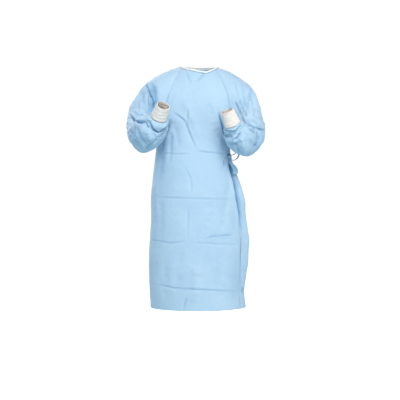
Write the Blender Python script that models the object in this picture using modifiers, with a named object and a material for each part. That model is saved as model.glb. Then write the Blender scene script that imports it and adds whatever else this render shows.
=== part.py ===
"""Wrap-back surgical gown, worn, with both forearms raised in front of the chest.

Metres, +Z up. The wearer faces -Y and the wearer's left is +X. The origin is the middle of
the neck base at shoulder level. Every cloth piece is a wall over a surface that is worked out
from short tables of sections: closed rings round the body and the arms, and open rows between
the raglan seams from the underarm to the neck.
"""
from collections import namedtuple
from math import asin, cos, pi, radians, sin

import bmesh
import bpy
from mathutils import Vector

WALL = 0.0016
KNIT_WALL = 0.0024
BINDING_WALL = 0.0022
BELT_WALL = 0.0014

SIDE_SEAM_GAP = 0.0006
RAGLAN_GAP = 0.0014
UNDERARM_GAP = 0.0020
UNDERARM_REACH = 0.16
WRAP_LIFT = 0.0045
WRAP_SLACK = 0.004
WRAP_RISE = 0.2
SLACK_FULL = 0.9
SLACK_END = 1.15
FLAP_TURN = 0.09
LIE_GAP = 0.0003
BELT_GAP = 0.0009

DENSE_ABOVE = -0.45
YOKE_ROWS = 7
BINDING_WIDTH = 0.010
NECK_REACH = 0.03
NECK_POINT = 0.4
NECK_POINT_FROM = 0.6
CUFF_LENGTH = 0.068
CUFF_BASE_RADIUS = 0.0370
CUFF_END_RADIUS = 0.0305
TURN_STEPS = 60

KNOT_X = 0.1345
KNOT_HEIGHT = -0.390
STRAP_WIDTH = 0.018
STRAP_REACH = 0.080
STRAP_MARGIN = 0.004
KNOT_HALF = Vector((0.0065, 0.0065, 0.0130))
FLAP_STRAP_START = Vector((0.0050, 0.0066, -0.004))
FLAP_STRAP_END_WIDTH = 0.010

# The body below the underarms: how far each ring reaches to each side of the origin, and where
# the free edge of the wrapped panel crosses it, as an x on the wearer's left of the front.
BodyRow = namedtuple("BodyRow", "height right left front back flap_edge")
BODY = (
    BodyRow(-1.100, -0.229, 0.2135, -0.166, 0.160, 0.191),
    BodyRow(-1.020, -0.234, 0.2065, -0.165, 0.160, 0.190),
    BodyRow(-0.880, -0.238, 0.2220, -0.163, 0.156, 0.194),
    BodyRow(-0.785, -0.234, 0.2240, -0.161, 0.152, 0.196),
    BodyRow(-0.690, -0.228, 0.2135, -0.160, 0.146, 0.191),
    BodyRow(-0.570, -0.227, 0.2015, -0.158, 0.136, 0.177),
    BodyRow(-0.500, -0.220, 0.1800, -0.156, 0.128, 0.164),
    BodyRow(-0.440, -0.213, 0.1580, -0.154, 0.120, 0.149),
    BodyRow(-0.385, -0.207, 0.1435, -0.152, 0.116, 0.1405),
    BodyRow(-0.330, -0.201, 0.1450, -0.149, 0.118, 0.144),
    BodyRow(-0.275, -0.197, 0.1630, -0.145, 0.125, 0.162),
)

# The body from the underarms (0) to the neck seam (1): its front and back middle lines, how far
# a row turns towards each raglan seam, and how far round the back each wrapped edge lies.
YokeRow = namedtuple("YokeRow", "share fx fy fz bx by bz turn outer_edge inner_edge")
YOKE = (
    YokeRow(0.00, -0.016, -0.145, -0.275, -0.016, 0.125, -0.275, 90, 0.86, 0.26),
    YokeRow(0.25, -0.002, -0.140, -0.215, -0.010, 0.128, -0.205, 86, 0.79, 0.27),
    YokeRow(0.50, 0.006, -0.128, -0.145, -0.005, 0.122, -0.130, 80, 0.73, 0.29),
    YokeRow(0.75, 0.018, -0.109, -0.074, 0.000, 0.104, -0.052, 72, 0.68, 0.32),
    YokeRow(1.00, 0.033, -0.085, -0.004, 0.000, 0.073, 0.036, 62, 0.64, 0.36),
)

# Each sleeve from the underarm (0) to the neck seam (1): the feet of each row on the front and
# back raglan seams and its top on the shoulder line. x is counted outwards from the middle.
CapRow = namedtuple("CapRow", "share front_x front_z back_x back_z top_x top_z front back turn")
CAPS = {
    "right": (
        CapRow(0.00, 0.197, -0.275, 0.197, -0.275, 0.288, -0.098, 0.088, 0.088, 180),
        CapRow(0.25, 0.168, -0.190, 0.165, -0.185, 0.256, -0.050, 0.108, 0.104, 126),
        CapRow(0.50, 0.140, -0.108, 0.140, -0.098, 0.207, -0.012, 0.103, 0.100, 98),
        CapRow(0.75, 0.112, -0.036, 0.110, -0.026, 0.150, 0.016, 0.078, 0.075, 78),
        CapRow(1.00, 0.083, 0.027, 0.081, 0.036, 0.094, 0.035, 0.047, 0.044, 62),
    ),
    "left": (
        CapRow(0.00, 0.163, -0.275, 0.163, -0.275, 0.262, -0.090, 0.090, 0.088, 180),
        CapRow(0.25, 0.150, -0.190, 0.148, -0.185, 0.236, -0.052, 0.108, 0.104, 126),
        CapRow(0.50, 0.130, -0.108, 0.128, -0.098, 0.190, -0.016, 0.103, 0.100, 98),
        CapRow(0.75, 0.108, -0.038, 0.106, -0.028, 0.140, 0.014, 0.078, 0.075, 78),
        CapRow(1.00, 0.083, 0.024, 0.081, 0.034, 0.0925, 0.031, 0.047, 0.044, 62),
    ),
}

# Each sleeve below the underarm, down to the cuff seam (1): ring centres with x counted
# outwards, the way that each ring faces in degrees (heading 0 is outwards, 90 is forwards;
# dip is below the level), and its half sizes across and towards the front and the back.
ArmRow = namedtuple("ArmRow", "share x y z heading dip across front back")
ARMS = {
    "right": (
        ArmRow(0.14, 0.257, -0.020, -0.205, 18, 38, 0.088, 0.086, 0.088),
        ArmRow(0.28, 0.266, -0.046, -0.236, 42, 48, 0.078, 0.084, 0.087),
        ArmRow(0.42, 0.262, -0.078, -0.264, 66, 46, 0.078, 0.066, 0.087),
        ArmRow(0.56, 0.248, -0.114, -0.286, 90, 31, 0.080, 0.079, 0.087),
        ArmRow(0.70, 0.235, -0.158, -0.290, 104, 8, 0.079, 0.076, 0.081),
        ArmRow(0.82, 0.216, -0.200, -0.274, 111, -14, 0.073, 0.067, 0.075),
        ArmRow(0.90, 0.199, -0.225, -0.258, 114, -29, 0.063, 0.058, 0.066),
        ArmRow(0.94, 0.190, -0.238, -0.246, 116, -35, 0.047, 0.046, 0.048),
        ArmRow(0.98, 0.182, -0.248, -0.235, 117, -41, 0.049, 0.048, 0.050),
        ArmRow(1.00, 0.178, -0.252, -0.229, 119, -47, 0.037, 0.037, 0.037),
    ),
    "left": (
        ArmRow(0.14, 0.228, -0.020, -0.207, 18, 38, 0.089, 0.086, 0.088),
        ArmRow(0.28, 0.237, -0.048, -0.241, 42, 48, 0.080, 0.085, 0.088),
        ArmRow(0.42, 0.232, -0.082, -0.273, 66, 46, 0.082, 0.068, 0.089),
        ArmRow(0.56, 0.218, -0.120, -0.297, 90, 31, 0.082, 0.081, 0.089),
        ArmRow(0.70, 0.203, -0.162, -0.303, 104, 8, 0.083, 0.078, 0.085),
        ArmRow(0.82, 0.184, -0.200, -0.297, 112, -16, 0.075, 0.067, 0.078),
        ArmRow(0.90, 0.170, -0.221, -0.285, 120, -35, 0.064, 0.058, 0.067),
        ArmRow(0.94, 0.162, -0.231, -0.275, 128, -46, 0.047, 0.046, 0.048),
        ArmRow(0.98, 0.154, -0.240, -0.265, 134, -56, 0.049, 0.048, 0.050),
        ArmRow(1.00, 0.150, -0.243, -0.259, 138, -59, 0.037, 0.037, 0.037),
    ),
}
SIGN = {"right": -1, "left": 1}

# The belt's end on the front, from its stitched tack to the knot: where it lies on the panel
# and how far it stands off it.
StrapRow = namedtuple("StrapRow", "x top bottom off")
FRONT_STRAP = (
    StrapRow(0.1110, -0.4130, -0.4340, 0.0),
    StrapRow(0.1180, -0.4075, -0.4275, 0.0),
    StrapRow(0.1250, -0.4020, -0.4190, 0.0006),
    StrapRow(0.1310, -0.3960, -0.4090, 0.0025),
    StrapRow(0.1328, -0.3975, -0.4070, 0.0028),
)

# The belt's free stretches, as offsets from the knot's middle: the half width of the strip
# and the way that its width faces, 0 across the body and 90 from front to back.
StripRow = namedtuple("StripRow", "dx dy dz half angle")
BOW_LOOP = (
    StripRow(0.0067, 0.000, 0.0040, 0.0050, 90),
    StripRow(0.0152, -0.001, 0.0050, 0.0070, 88),
    StripRow(0.0260, -0.002, 0.0108, 0.0085, 84),
    StripRow(0.0349, -0.003, 0.0162, 0.0090, 82),
    StripRow(0.0425, -0.004, 0.0100, 0.0090, 84),
    StripRow(0.0410, -0.004, -0.0033, 0.0090, 88),
    StripRow(0.0335, -0.003, -0.0140, 0.0085, 90),
    StripRow(0.0227, -0.002, -0.0192, 0.0070, 92),
    StripRow(0.0130, -0.001, -0.0178, 0.0050, 94),
)
BELT_TAIL = (
    StripRow(0.0000, -0.0020, -0.0133, 0.0040, 10),
    StripRow(0.0060, -0.0120, -0.0300, 0.0075, 12),
    StripRow(0.0220, -0.0090, -0.0500, 0.0115, 16),
    StripRow(0.0290, -0.0070, -0.0690, 0.0135, 22),
    StripRow(0.0270, -0.0060, -0.0845, 0.0105, 22),
)


def value(rows, name, place):
    """One column of a table at any place along it, as a smooth curve through its rows."""
    places = [row[0] for row in rows]
    values = [getattr(row, name) for row in rows]
    last = len(rows) - 1
    place = min(max(place, places[0]), places[last])
    k = next(i for i in range(last) if place <= places[i + 1])
    width = places[k + 1] - places[k]

    def slope(i):
        low = max(i - 1, 0)
        high = min(i + 1, last)
        return (values[high] - values[low]) / (places[high] - places[low]) * width

    q = (place - places[k]) / width
    start = values[k] * (2 * q**3 - 3 * q**2 + 1) + slope(k) * (q**3 - 2 * q**2 + q)
    end = values[k + 1] * (3 * q**2 - 2 * q**3) + slope(k + 1) * (q**3 - q**2)
    return start + end


def step(low, high, place):
    """Smooth rise from 0 at low to 1 at high."""
    q = min(max((place - low) / (high - low), 0), 1)
    return q * q * (3 - 2 * q)


def arch(middle, end, turn, share, bend=1):
    """Part of a row of the body, from its middle (0) to its end (1).

    The row starts level at its middle with a bend of 1, and comes to a point there as the bend falls.
    """
    along = sin(turn * share) / sin(turn)
    away = (1 - cos(turn * share)) / (1 - cos(turn))
    return Vector((
        middle.x + (end.x - middle.x) * along,
        middle.y + (end.y - middle.y) * away,
        middle.z + (end.z - middle.z) * away**bend,
    ))


def cap_point(side, share, across):
    """Point of a sleeve above the underarm: across runs from front seam (-1) to back (1)."""
    table = CAPS[side]
    turn = radians(value(table, "turn", share))
    foot = "front" if across < 0 else "back"
    depth = value(table, foot, share)
    angle = across * turn
    inwards = (1 - cos(angle)) / (1 - cos(turn))
    top_x = value(table, "top_x", share)
    top_z = value(table, "top_z", share)
    x = top_x + (value(table, foot + "_x", share) - top_x) * inwards
    z = top_z + (value(table, foot + "_z", share) - top_z) * inwards
    return Vector((SIGN[side] * x, depth * sin(angle), z))


def body_ends(height):
    """Right and left side seam points of a ring below the underarms."""
    right = Vector((value(BODY, "right", height), 0, height))
    left = Vector((value(BODY, "left", height), 0, height))
    return right, left


def body_row(level):
    """Right end, front middle, left end, back middle, back ends and turn of a row.

    A level below 0 is a height below the underarms, and from 0 to 1 a share of the yoke.
    """
    if level < 0:
        height = BODY[-1].height + level
        right, left = body_ends(height)
        middle_x = (right.x + left.x) / 2
        front = Vector((middle_x, value(BODY, "front", height), height))
        back = Vector((middle_x, value(BODY, "back", height), height))
        return right, left, front, right, left, back, pi / 2
    front = Vector([value(YOKE, name, level) for name in ("fx", "fy", "fz")])
    back = Vector([value(YOKE, name, level) for name in ("bx", "by", "bz")])
    ends = [cap_point(side, level, foot) for foot in (-1, 1) for side in ("right", "left")]
    return ends[0], ends[1], front, ends[2], ends[3], back, radians(value(YOKE, "turn", level))


def front_point(level, across):
    """Point of the front: across runs from the wearer's right (-1) to the left (1)."""
    right, left, front, _, _, _, turn = body_row(level)
    bend = 1 - NECK_POINT * step(NECK_POINT_FROM, 1, level)
    return arch(front, right if across < 0 else left, turn, abs(across), bend)


def back_point(level, round_back):
    """Point of the back: 0 at the right side, 1 at the left side, and past 1 on the front."""
    right, left, front, back_right, back_left, back, turn = body_row(level)
    if round_back > 1:
        return arch(front, left, turn, 3 - 2 * round_back)
    across = 2 * round_back - 1
    return arch(back, back_right if across < 0 else back_left, turn, abs(across))


def outward(surface, level, place, inside):
    """Unit normal of a surface, away from the point inside."""
    small = 0.001
    along = surface(level, place + small) - surface(level, place - small)
    up = surface(level + small, place) - surface(level - small, place)
    normal = along.cross(up).normalized()
    here = surface(level, place)
    return normal if normal.dot(here - inside) > 0 else -normal


def body_normal(surface, level, place):
    """Normal of the front or the back, away from the body's middle."""
    height = surface(level, place).z
    return outward(surface, level, place, Vector((0, 0, height - 0.05)))


def outer_edge(level):
    """How far round the wrapped outer panel reaches at a level."""
    if level >= 0:
        return value(YOKE, "outer_edge", level)
    height = BODY[-1].height + level
    _, left = body_ends(height)
    middle_x = (value(BODY, "right", height) + left.x) / 2
    reach = min((value(BODY, "flap_edge", height) - middle_x) / (left.x - middle_x), 1)
    on_front = 1.5 - asin(reach) / pi
    below = step(0, -FLAP_TURN, level)
    return YOKE[0].outer_edge * (1 - below) + on_front * below


def inner_edge(level):
    """How far round the inner panel starts at a level."""
    return value(YOKE, "inner_edge", max(level, 0))


def wrap_point(level, round_back):
    """Point of the outer panel, lifted off the layer that it lies on."""
    slack = step(WRAP_RISE, SLACK_FULL, round_back) * (1 - step(1, SLACK_END, round_back))
    lift = WRAP_LIFT * step(0, WRAP_RISE, round_back) + WRAP_SLACK * slack
    return back_point(level, round_back) + body_normal(back_point, level, round_back) * lift


def arm_rows(side):
    """The sleeve's table of rings, with the first worked out from the cap's first row."""
    cap = CAPS[side][0]
    rise = cap.top_z - cap.front_z
    run = cap.top_x - cap.front_x
    half = (rise * rise + run * run) ** 0.5 / 2
    middle_x = (cap.top_x + cap.front_x) / 2
    middle_z = (cap.top_z + cap.front_z) / 2
    dip = asin(run / (2 * half)) * 180 / pi
    first = ArmRow(0, middle_x, 0, middle_z, 0, dip, half, cap.front, cap.back)
    return (first,) + ARMS[side]


def ring_facing(rows, share):
    """Unit vector along the sleeve at a ring, with x outwards."""
    heading = radians(value(rows, "heading", share))
    dip = radians(value(rows, "dip", share))
    return Vector((cos(heading) * cos(dip), -sin(heading) * cos(dip), -sin(dip)))


def arm_frames(side, shares):
    """Centre, facing, outward axis and back axis of each ring, turned along without twist."""
    rows = arm_rows(side)
    facing = ring_facing(rows, 0)
    back_axis = Vector((0, 1, 0))
    back_axes = []
    for i in range(TURN_STEPS + 1):
        new_facing = ring_facing(rows, i / TURN_STEPS)
        back_axis = facing.rotation_difference(new_facing) @ back_axis
        facing = new_facing
        back_axes.append(back_axis)
    frames = []
    for share in shares:
        facing = ring_facing(rows, share)
        back_axis = back_axes[round(share * TURN_STEPS)]
        back_axis = (back_axis - facing * back_axis.dot(facing)).normalized()
        centre = Vector([value(rows, name, share) for name in "xyz"])
        frames.append((centre, facing, facing.cross(back_axis), back_axis))
    return frames


def mirrored(side, point):
    """A point with x counted outwards, put on its own side."""
    return Vector((SIGN[side] * point.x, point.y, point.z))


def arm_ring(side, frame, share, across_list):
    """Points round one ring of the sleeve, from the underarm round the front to the back."""
    rows = arm_rows(side)
    centre, _, out_axis, back_axis = frame
    points = []
    for across in across_list:
        angle = across * pi
        depth = value(rows, "front" if across < 0 else "back", share)
        reach = value(rows, "across", share)
        local = centre + out_axis * (reach * cos(angle)) + back_axis * (depth * sin(angle))
        points.append(mirrored(side, local))
    return points


def spread(low, high, count):
    """Evenly spaced places from low to high."""
    return [low + (high - low) * i / count for i in range(count + 1)]


def seam_gap(level):
    """Half of the gap at a seam, wider round the underarm where four pieces meet."""
    near = 1 - step(0, UNDERARM_REACH, abs(level))
    gap = SIDE_SEAM_GAP if level < 0 else RAGLAN_GAP
    return (gap + (UNDERARM_GAP - gap) * near) / 2


def short_of(point_at, end, towards, gap):
    """The place along a row that lies a gap short of its end."""
    small = 0.002 * (1 if towards > end else -1)
    rate = (point_at(end + small) - point_at(end)).length / abs(small)
    return end + gap / rate * (1 if towards > end else -1)


def material(name, color, roughness):
    """Plain surface with a colour and a roughness."""
    made = bpy.data.materials.new(name)
    made.use_nodes = True
    shader = made.node_tree.nodes["Principled BSDF"]
    shader.inputs["Base Color"].default_value = (*color, 1)
    shader.inputs["Roughness"].default_value = roughness
    return made


def wall_object(name, rows, wall, look, closed_ends=False):
    """A sheet through rows of points, thickened inwards to a wall.

    Seen from outside, the first row is the lowest and each row runs to the right.
    """
    mesh = bpy.data.meshes.new(name)
    shape = bmesh.new()
    grid = [[shape.verts.new(point) for point in row] for row in rows]
    for row, above in zip(grid, grid[1:]):
        for i in range(len(row) - 1):
            shape.faces.new((row[i], row[i + 1], above[i + 1], above[i]))
        if closed_ends:
            shape.faces.new((row[-1], row[0], above[0], above[-1]))
    bmesh.ops.remove_doubles(shape, verts=shape.verts, dist=0.00002)
    shape.to_mesh(mesh)
    shape.free()
    mesh.shade_smooth()
    mesh.materials.append(look)
    made = bpy.data.objects.new(name, mesh)
    gown.objects.link(made)
    solid = made.modifiers.new("Wall", "SOLIDIFY")
    solid.thickness = wall
    solid.offset = -1
    return made


def body_levels():
    """Levels of the rows of a body panel, closer together above the waist."""
    levels = []
    for row, above in zip(BODY, BODY[1:]):
        levels.append(row.height - BODY[-1].height)
        if row.height > DENSE_ABOVE:
            levels.append((row.height + above.height) / 2 - BODY[-1].height)
    return levels + spread(0, 1, YOKE_ROWS)


def front_panel():
    """Front, from side seam to side seam and between the raglan seams up to the neck."""
    rows = []
    for level in body_levels():
        gap = seam_gap(level)
        right = short_of(lambda a: front_point(level, a), -1, 0, gap)
        left = short_of(lambda a: front_point(level, a), 1, 0, gap)
        rows.append([front_point(level, across) for across in spread(right, left, 20)])
    wall_object("front_panel", rows, WALL, cloth)


def back_panel_outer():
    """The wearer's right back panel, wrapped over the back to the left of the front."""
    rows = []
    for level in body_levels():
        start = short_of(lambda a: back_point(level, a), 0, 1, seam_gap(level))
        rows.append([wrap_point(level, place) for place in spread(outer_edge(level), start, 25)])
    wall_object("back_panel_outer", rows, WALL, cloth)


def back_panel_inner():
    """The wearer's left back panel, under the outer one."""
    rows = []
    for level in body_levels():
        end = short_of(lambda a: back_point(level, a), 1, 0, seam_gap(level))
        rows.append([back_point(level, place) for place in spread(end, inner_edge(level), 14)])
    wall_object("back_panel_inner", rows, WALL, cloth)


def sleeve_rows(side, arm_shares, cap_count, columns):
    """Rows of a sleeve from the cuff seam over the underarm to the neck seam."""
    rows = []
    frames = arm_frames(side, arm_shares)
    for share, frame in zip(arm_shares, frames):
        rows.append(arm_ring(side, frame, share, spread(-1, 1, columns)))
    for share in spread(0, 1, cap_count)[1:]:
        gap = seam_gap(share)
        front = short_of(lambda a: cap_point(side, share, a), -1, 0, gap)
        back = short_of(lambda a: cap_point(side, share, a), 1, 0, gap)
        rows.append([cap_point(side, share, across) for across in spread(front, back, columns)])
    return rows


def facing_out(side, rows):
    """Rows that run from front to back, put in the order that faces out on their side."""
    return rows if side == "left" else [list(reversed(row)) for row in rows]


def sleeve(side):
    """Raglan sleeve, a tube below the underarm and open between the seams above it."""
    shares = [row.share for row in reversed(ARMS[side])] + [0]
    rows = sleeve_rows(side, shares, YOKE_ROWS, 20)
    wall_object("sleeve_" + side, facing_out(side, rows), WALL, cloth)


def cuff(side):
    """Knitted cuff, a tapered tube from the sleeve's end to the hand."""
    (centre, facing, out_axis, back_axis), = arm_frames(side, [1])
    rows = []
    for share in spread(1, 0, 3):
        radius = CUFF_BASE_RADIUS + (CUFF_END_RADIUS - CUFF_BASE_RADIUS) * share
        middle = centre + facing * (LIE_GAP + CUFF_LENGTH * share)
        row = []
        for across in spread(-1, 1, 20)[:-1]:
            angle = across * pi
            local = middle + (out_axis * cos(angle) + back_axis * sin(angle)) * radius
            row.append(mirrored(side, local))
        rows.append(row)
    wall_object("cuff_" + side, facing_out(side, rows), KNIT_WALL, knit, closed_ends=True)


def neck_path():
    """Points of the neck seam, each with the way on past it, from one back end to the other."""
    below = 1 - NECK_REACH
    surfaces = [
        (wrap_point, spread(outer_edge(1), 0, 8)),
        (lambda level, a: cap_point("right", level, a), spread(1, -1, 6)),
        (front_point, spread(-1, 1, 16)),
        (lambda level, a: cap_point("left", level, a), spread(-1, 1, 6)),
        (back_point, spread(1, inner_edge(1), 8)),
    ]
    path = []
    for surface, places in surfaces:
        for place in places:
            point = surface(1, place)
            onward = (point - surface(below, place)).normalized()
            if path and (point - path[-1][0]).length < 0.001:
                continue
            path.append((point, onward))
    return path


def neck_binding():
    """Binding strip along the neck seam."""
    path = neck_path()
    rows = []
    for share in (0, 1):
        reach = LIE_GAP + BINDING_WIDTH * share
        rows.append([point + onward * reach for point, onward in path])
    wall_object("neck_binding", rows, BINDING_WALL, binding)


def front_place(x, height):
    """Level and place across of a point on the wearer's left of the front."""
    right, left = body_ends(height)
    middle_x = (right.x + left.x) / 2
    return height - BODY[-1].height, asin((x - middle_x) / (left.x - middle_x)) / (pi / 2)


def off_front(x, height, distance):
    """Point off the front panel."""
    level, across = front_place(x, height)
    return front_point(level, across) + body_normal(front_point, level, across) * distance


def off_wrap(level, round_back, distance):
    """Point off the outer back panel."""
    return wrap_point(level, round_back) + body_normal(wrap_point, level, round_back) * distance


def belt_front():
    """Belt end on the front, from its tack to the knot."""
    rows = []
    for share in spread(0, 1, 3):
        row = []
        for x in spread(FRONT_STRAP[0].x, FRONT_STRAP[-1].x, 8):
            bottom = value(FRONT_STRAP, "bottom", x)
            height = bottom + (value(FRONT_STRAP, "top", x) - bottom) * share
            distance = BELT_GAP + BELT_WALL + value(FRONT_STRAP, "off", x)
            row.append(off_front(x, height, distance))
        rows.append(row)
    wall_object("belt_front", rows, BELT_WALL, cloth)


def belt_flap(middle):
    """Belt end on the wrapped panel, from near the knot over the panel's free edge to its tack."""
    distance = BELT_GAP + BELT_WALL
    rows = []
    for share in spread(0, 1, 3):
        level = KNOT_HEIGHT - BODY[-1].height + STRAP_WIDTH * (share - 0.5)
        edge = outer_edge(level)
        places = spread(edge - STRAP_MARGIN, edge - STRAP_REACH, 9)
        row = [off_wrap(level, place, distance) for place in places]
        start = middle + FLAP_STRAP_START + Vector((0, 0, FLAP_STRAP_END_WIDTH * (share - 0.5)))
        rows.append([start.lerp(row[0], part) for part in spread(0, 1, 3)[:-1]] + row)
    wall_object("belt_flap", rows, BELT_WALL, cloth)


def belt_knot(middle):
    """Knot of the two belt ends."""
    mesh = bpy.data.meshes.new("belt_knot")
    shape = bmesh.new()
    bmesh.ops.create_uvsphere(shape, u_segments=10, v_segments=8, radius=1)
    bmesh.ops.scale(shape, vec=KNOT_HALF, verts=shape.verts)
    shape.to_mesh(mesh)
    shape.free()
    mesh.shade_smooth()
    mesh.materials.append(cloth)
    knot = bpy.data.objects.new("belt_knot", mesh)
    knot.location = middle
    gown.objects.link(knot)


def belt_strip(name, table, middle):
    """Free strip of the belt, through the rows of a table round the knot's middle."""
    rows = []
    for row in table:
        angle = radians(row.angle)
        centre = middle + Vector((row.dx, row.dy, row.dz))
        half = Vector((cos(angle), sin(angle), 0)) * row.half
        rows.append([centre - half, centre, centre + half])
    wall_object(name, rows, BELT_WALL, cloth)


for old in list(bpy.data.objects):
    bpy.data.objects.remove(old)
gown = bpy.data.collections.new("surgical_gown")
bpy.context.scene.collection.children.link(gown)
cloth = material("cloth_blue", (0.42, 0.66, 0.85), 0.75)
knit = material("cuff_knit", (0.82, 0.80, 0.76), 0.9)
binding = material("binding_white", (0.85, 0.84, 0.80), 0.8)

front_panel()
back_panel_outer()
back_panel_inner()
for name in SIGN:
    sleeve(name)
    cuff(name)
neck_binding()
knot_middle = off_front(KNOT_X, KNOT_HEIGHT, KNOT_HALF.x + BELT_GAP)
belt_front()
belt_flap(knot_middle)
belt_knot(knot_middle)
belt_strip("belt_loop", BOW_LOOP, knot_middle)
belt_strip("belt_tail", BELT_TAIL, knot_middle)
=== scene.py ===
"""Looks of the surgical gown, on the frame of its solids.

Metres, +Z up. The wearer faces -Y and the wearer's left is +X. Each cloth piece is a fine
sheet on the same surface as its solid, worked out from the same short tables. Creases are laid
on it along lines given as they are seen from the front, the back or the sides.
"""
from collections import namedtuple
from math import atan2, cos, pi, radians, sin

import bmesh
import bpy
import numpy as np
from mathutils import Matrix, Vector


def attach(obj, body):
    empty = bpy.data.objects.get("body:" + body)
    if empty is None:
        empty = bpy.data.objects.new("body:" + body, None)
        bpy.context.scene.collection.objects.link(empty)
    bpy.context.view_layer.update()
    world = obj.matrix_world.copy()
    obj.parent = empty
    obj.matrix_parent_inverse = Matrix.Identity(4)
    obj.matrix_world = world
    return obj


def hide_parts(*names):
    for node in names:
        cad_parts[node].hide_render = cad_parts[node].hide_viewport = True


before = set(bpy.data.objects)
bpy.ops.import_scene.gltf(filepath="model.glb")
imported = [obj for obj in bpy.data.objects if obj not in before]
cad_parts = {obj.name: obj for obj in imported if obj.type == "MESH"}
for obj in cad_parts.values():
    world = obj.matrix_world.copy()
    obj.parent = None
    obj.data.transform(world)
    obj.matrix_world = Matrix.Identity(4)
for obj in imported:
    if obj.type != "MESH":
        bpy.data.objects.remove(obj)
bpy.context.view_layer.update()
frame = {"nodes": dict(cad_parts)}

CAMERA_PLACE = (0.0048, -4.0, -0.594)
CAMERA_LENS = 76
FLOOR_HEIGHT = -1.53

CLOTH = 0.0009
KNIT = 0.0022
BINDING = 0.0012
BELT = 0.0011

WRAP_LIFT = 0.0045
WRAP_SLACK = 0.004
WRAP_RISE = 0.2
SLACK_FULL = 0.9
SLACK_END = 1.15
FLAP_TURN = 0.09
LIE_GAP = 0.0003
BELT_GAP = 0.0009

BINDING_WIDTH = 0.010
NECK_REACH = 0.03
NECK_POINT = 0.4
NECK_POINT_FROM = 0.6
CUFF_LENGTH = 0.068
CUFF_BASE_RADIUS = 0.0370
CUFF_END_RADIUS = 0.0305
CUFF_RIBS = 76
TURN_STEPS = 60

SEAM_DIP = 0.0005
SEAM_REACH = 0.0040
SEAM_CALM = 0.016
FREE_EDGE_LIFT = 0.0015
FRONT_DETAIL = 0.25
# Painted shade colours: the cloth is darkened towards the first in its creases and under the arms, and
# towards the second in the darkest of them.
PAINTED_FOLD_SHADE = (0.15, 0.33, 0.53, 1)
PAINTED_DEEP_FOLD_SHADE = (0.035, 0.11, 0.25, 1)
SHADE_WIDTH = 0.75
FREE_EDGE_REACH = 0.012
FREE_EDGE_WIDER = 0.016
BODY_GAIN = 2.3
SLEEVE_GAIN = 2.4

KNOT_X = 0.1345
KNOT_HEIGHT = -0.390
STRAP_WIDTH = 0.018
STRAP_REACH = 0.080
STRAP_MARGIN = 0.004
KNOT_HALF = Vector((0.0065, 0.0065, 0.0130))
FLAP_STRAP_START = (0.0050, 0.0066, -0.004)
FLAP_STRAP_END_WIDTH = 0.010

# The body below the underarms: how far each ring reaches to each side of the origin, and where
# the free edge of the wrapped panel crosses it, as an x on the wearer's left of the front.
BodyRow = namedtuple("BodyRow", "height right left front back flap_edge")
BODY = (
    BodyRow(-1.100, -0.229, 0.2135, -0.166, 0.160, 0.191),
    BodyRow(-1.020, -0.234, 0.2065, -0.165, 0.160, 0.190),
    BodyRow(-0.880, -0.238, 0.2220, -0.163, 0.156, 0.194),
    BodyRow(-0.785, -0.234, 0.2240, -0.161, 0.152, 0.196),
    BodyRow(-0.690, -0.228, 0.2135, -0.160, 0.146, 0.191),
    BodyRow(-0.570, -0.227, 0.2015, -0.158, 0.136, 0.177),
    BodyRow(-0.500, -0.220, 0.1800, -0.156, 0.128, 0.164),
    BodyRow(-0.440, -0.213, 0.1580, -0.154, 0.120, 0.149),
    BodyRow(-0.385, -0.207, 0.1435, -0.152, 0.116, 0.1405),
    BodyRow(-0.330, -0.201, 0.1450, -0.149, 0.118, 0.144),
    BodyRow(-0.275, -0.197, 0.1630, -0.145, 0.125, 0.162),
)
# The body from the underarms (0) to the neck seam (1): its front and back middle lines, how far
# a row turns towards each raglan seam, and how far round the back each wrapped edge lies.
YokeRow = namedtuple("YokeRow", "share fx fy fz bx by bz turn outer_edge inner_edge")
YOKE = (
    YokeRow(0.00, -0.016, -0.145, -0.275, -0.016, 0.125, -0.275, 90, 0.86, 0.26),
    YokeRow(0.25, -0.002, -0.140, -0.215, -0.010, 0.128, -0.205, 86, 0.79, 0.27),
    YokeRow(0.50, 0.006, -0.128, -0.145, -0.005, 0.122, -0.130, 80, 0.73, 0.29),
    YokeRow(0.75, 0.018, -0.109, -0.074, 0.000, 0.104, -0.052, 72, 0.68, 0.32),
    YokeRow(1.00, 0.033, -0.085, -0.004, 0.000, 0.073, 0.036, 62, 0.64, 0.36),
)
# Each sleeve from the underarm (0) to the neck seam (1): the feet of each row on the front and
# back raglan seams and its top on the shoulder line. x is counted outwards from the middle.
CapRow = namedtuple("CapRow", "share front_x front_z back_x back_z top_x top_z front back turn")
CAPS = {
    "right": (
        CapRow(0.00, 0.197, -0.275, 0.197, -0.275, 0.288, -0.098, 0.088, 0.088, 180),
        CapRow(0.25, 0.168, -0.190, 0.165, -0.185, 0.256, -0.050, 0.108, 0.104, 126),
        CapRow(0.50, 0.140, -0.108, 0.140, -0.098, 0.207, -0.012, 0.103, 0.100, 98),
        CapRow(0.75, 0.112, -0.036, 0.110, -0.026, 0.150, 0.016, 0.078, 0.075, 78),
        CapRow(1.00, 0.083, 0.027, 0.081, 0.036, 0.094, 0.035, 0.047, 0.044, 62),
    ),
    "left": (
        CapRow(0.00, 0.163, -0.275, 0.163, -0.275, 0.262, -0.090, 0.090, 0.088, 180),
        CapRow(0.25, 0.150, -0.190, 0.148, -0.185, 0.236, -0.052, 0.108, 0.104, 126),
        CapRow(0.50, 0.130, -0.108, 0.128, -0.098, 0.190, -0.016, 0.103, 0.100, 98),
        CapRow(0.75, 0.108, -0.038, 0.106, -0.028, 0.140, 0.014, 0.078, 0.075, 78),
        CapRow(1.00, 0.083, 0.024, 0.081, 0.034, 0.0925, 0.031, 0.047, 0.044, 62),
    ),
}
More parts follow.
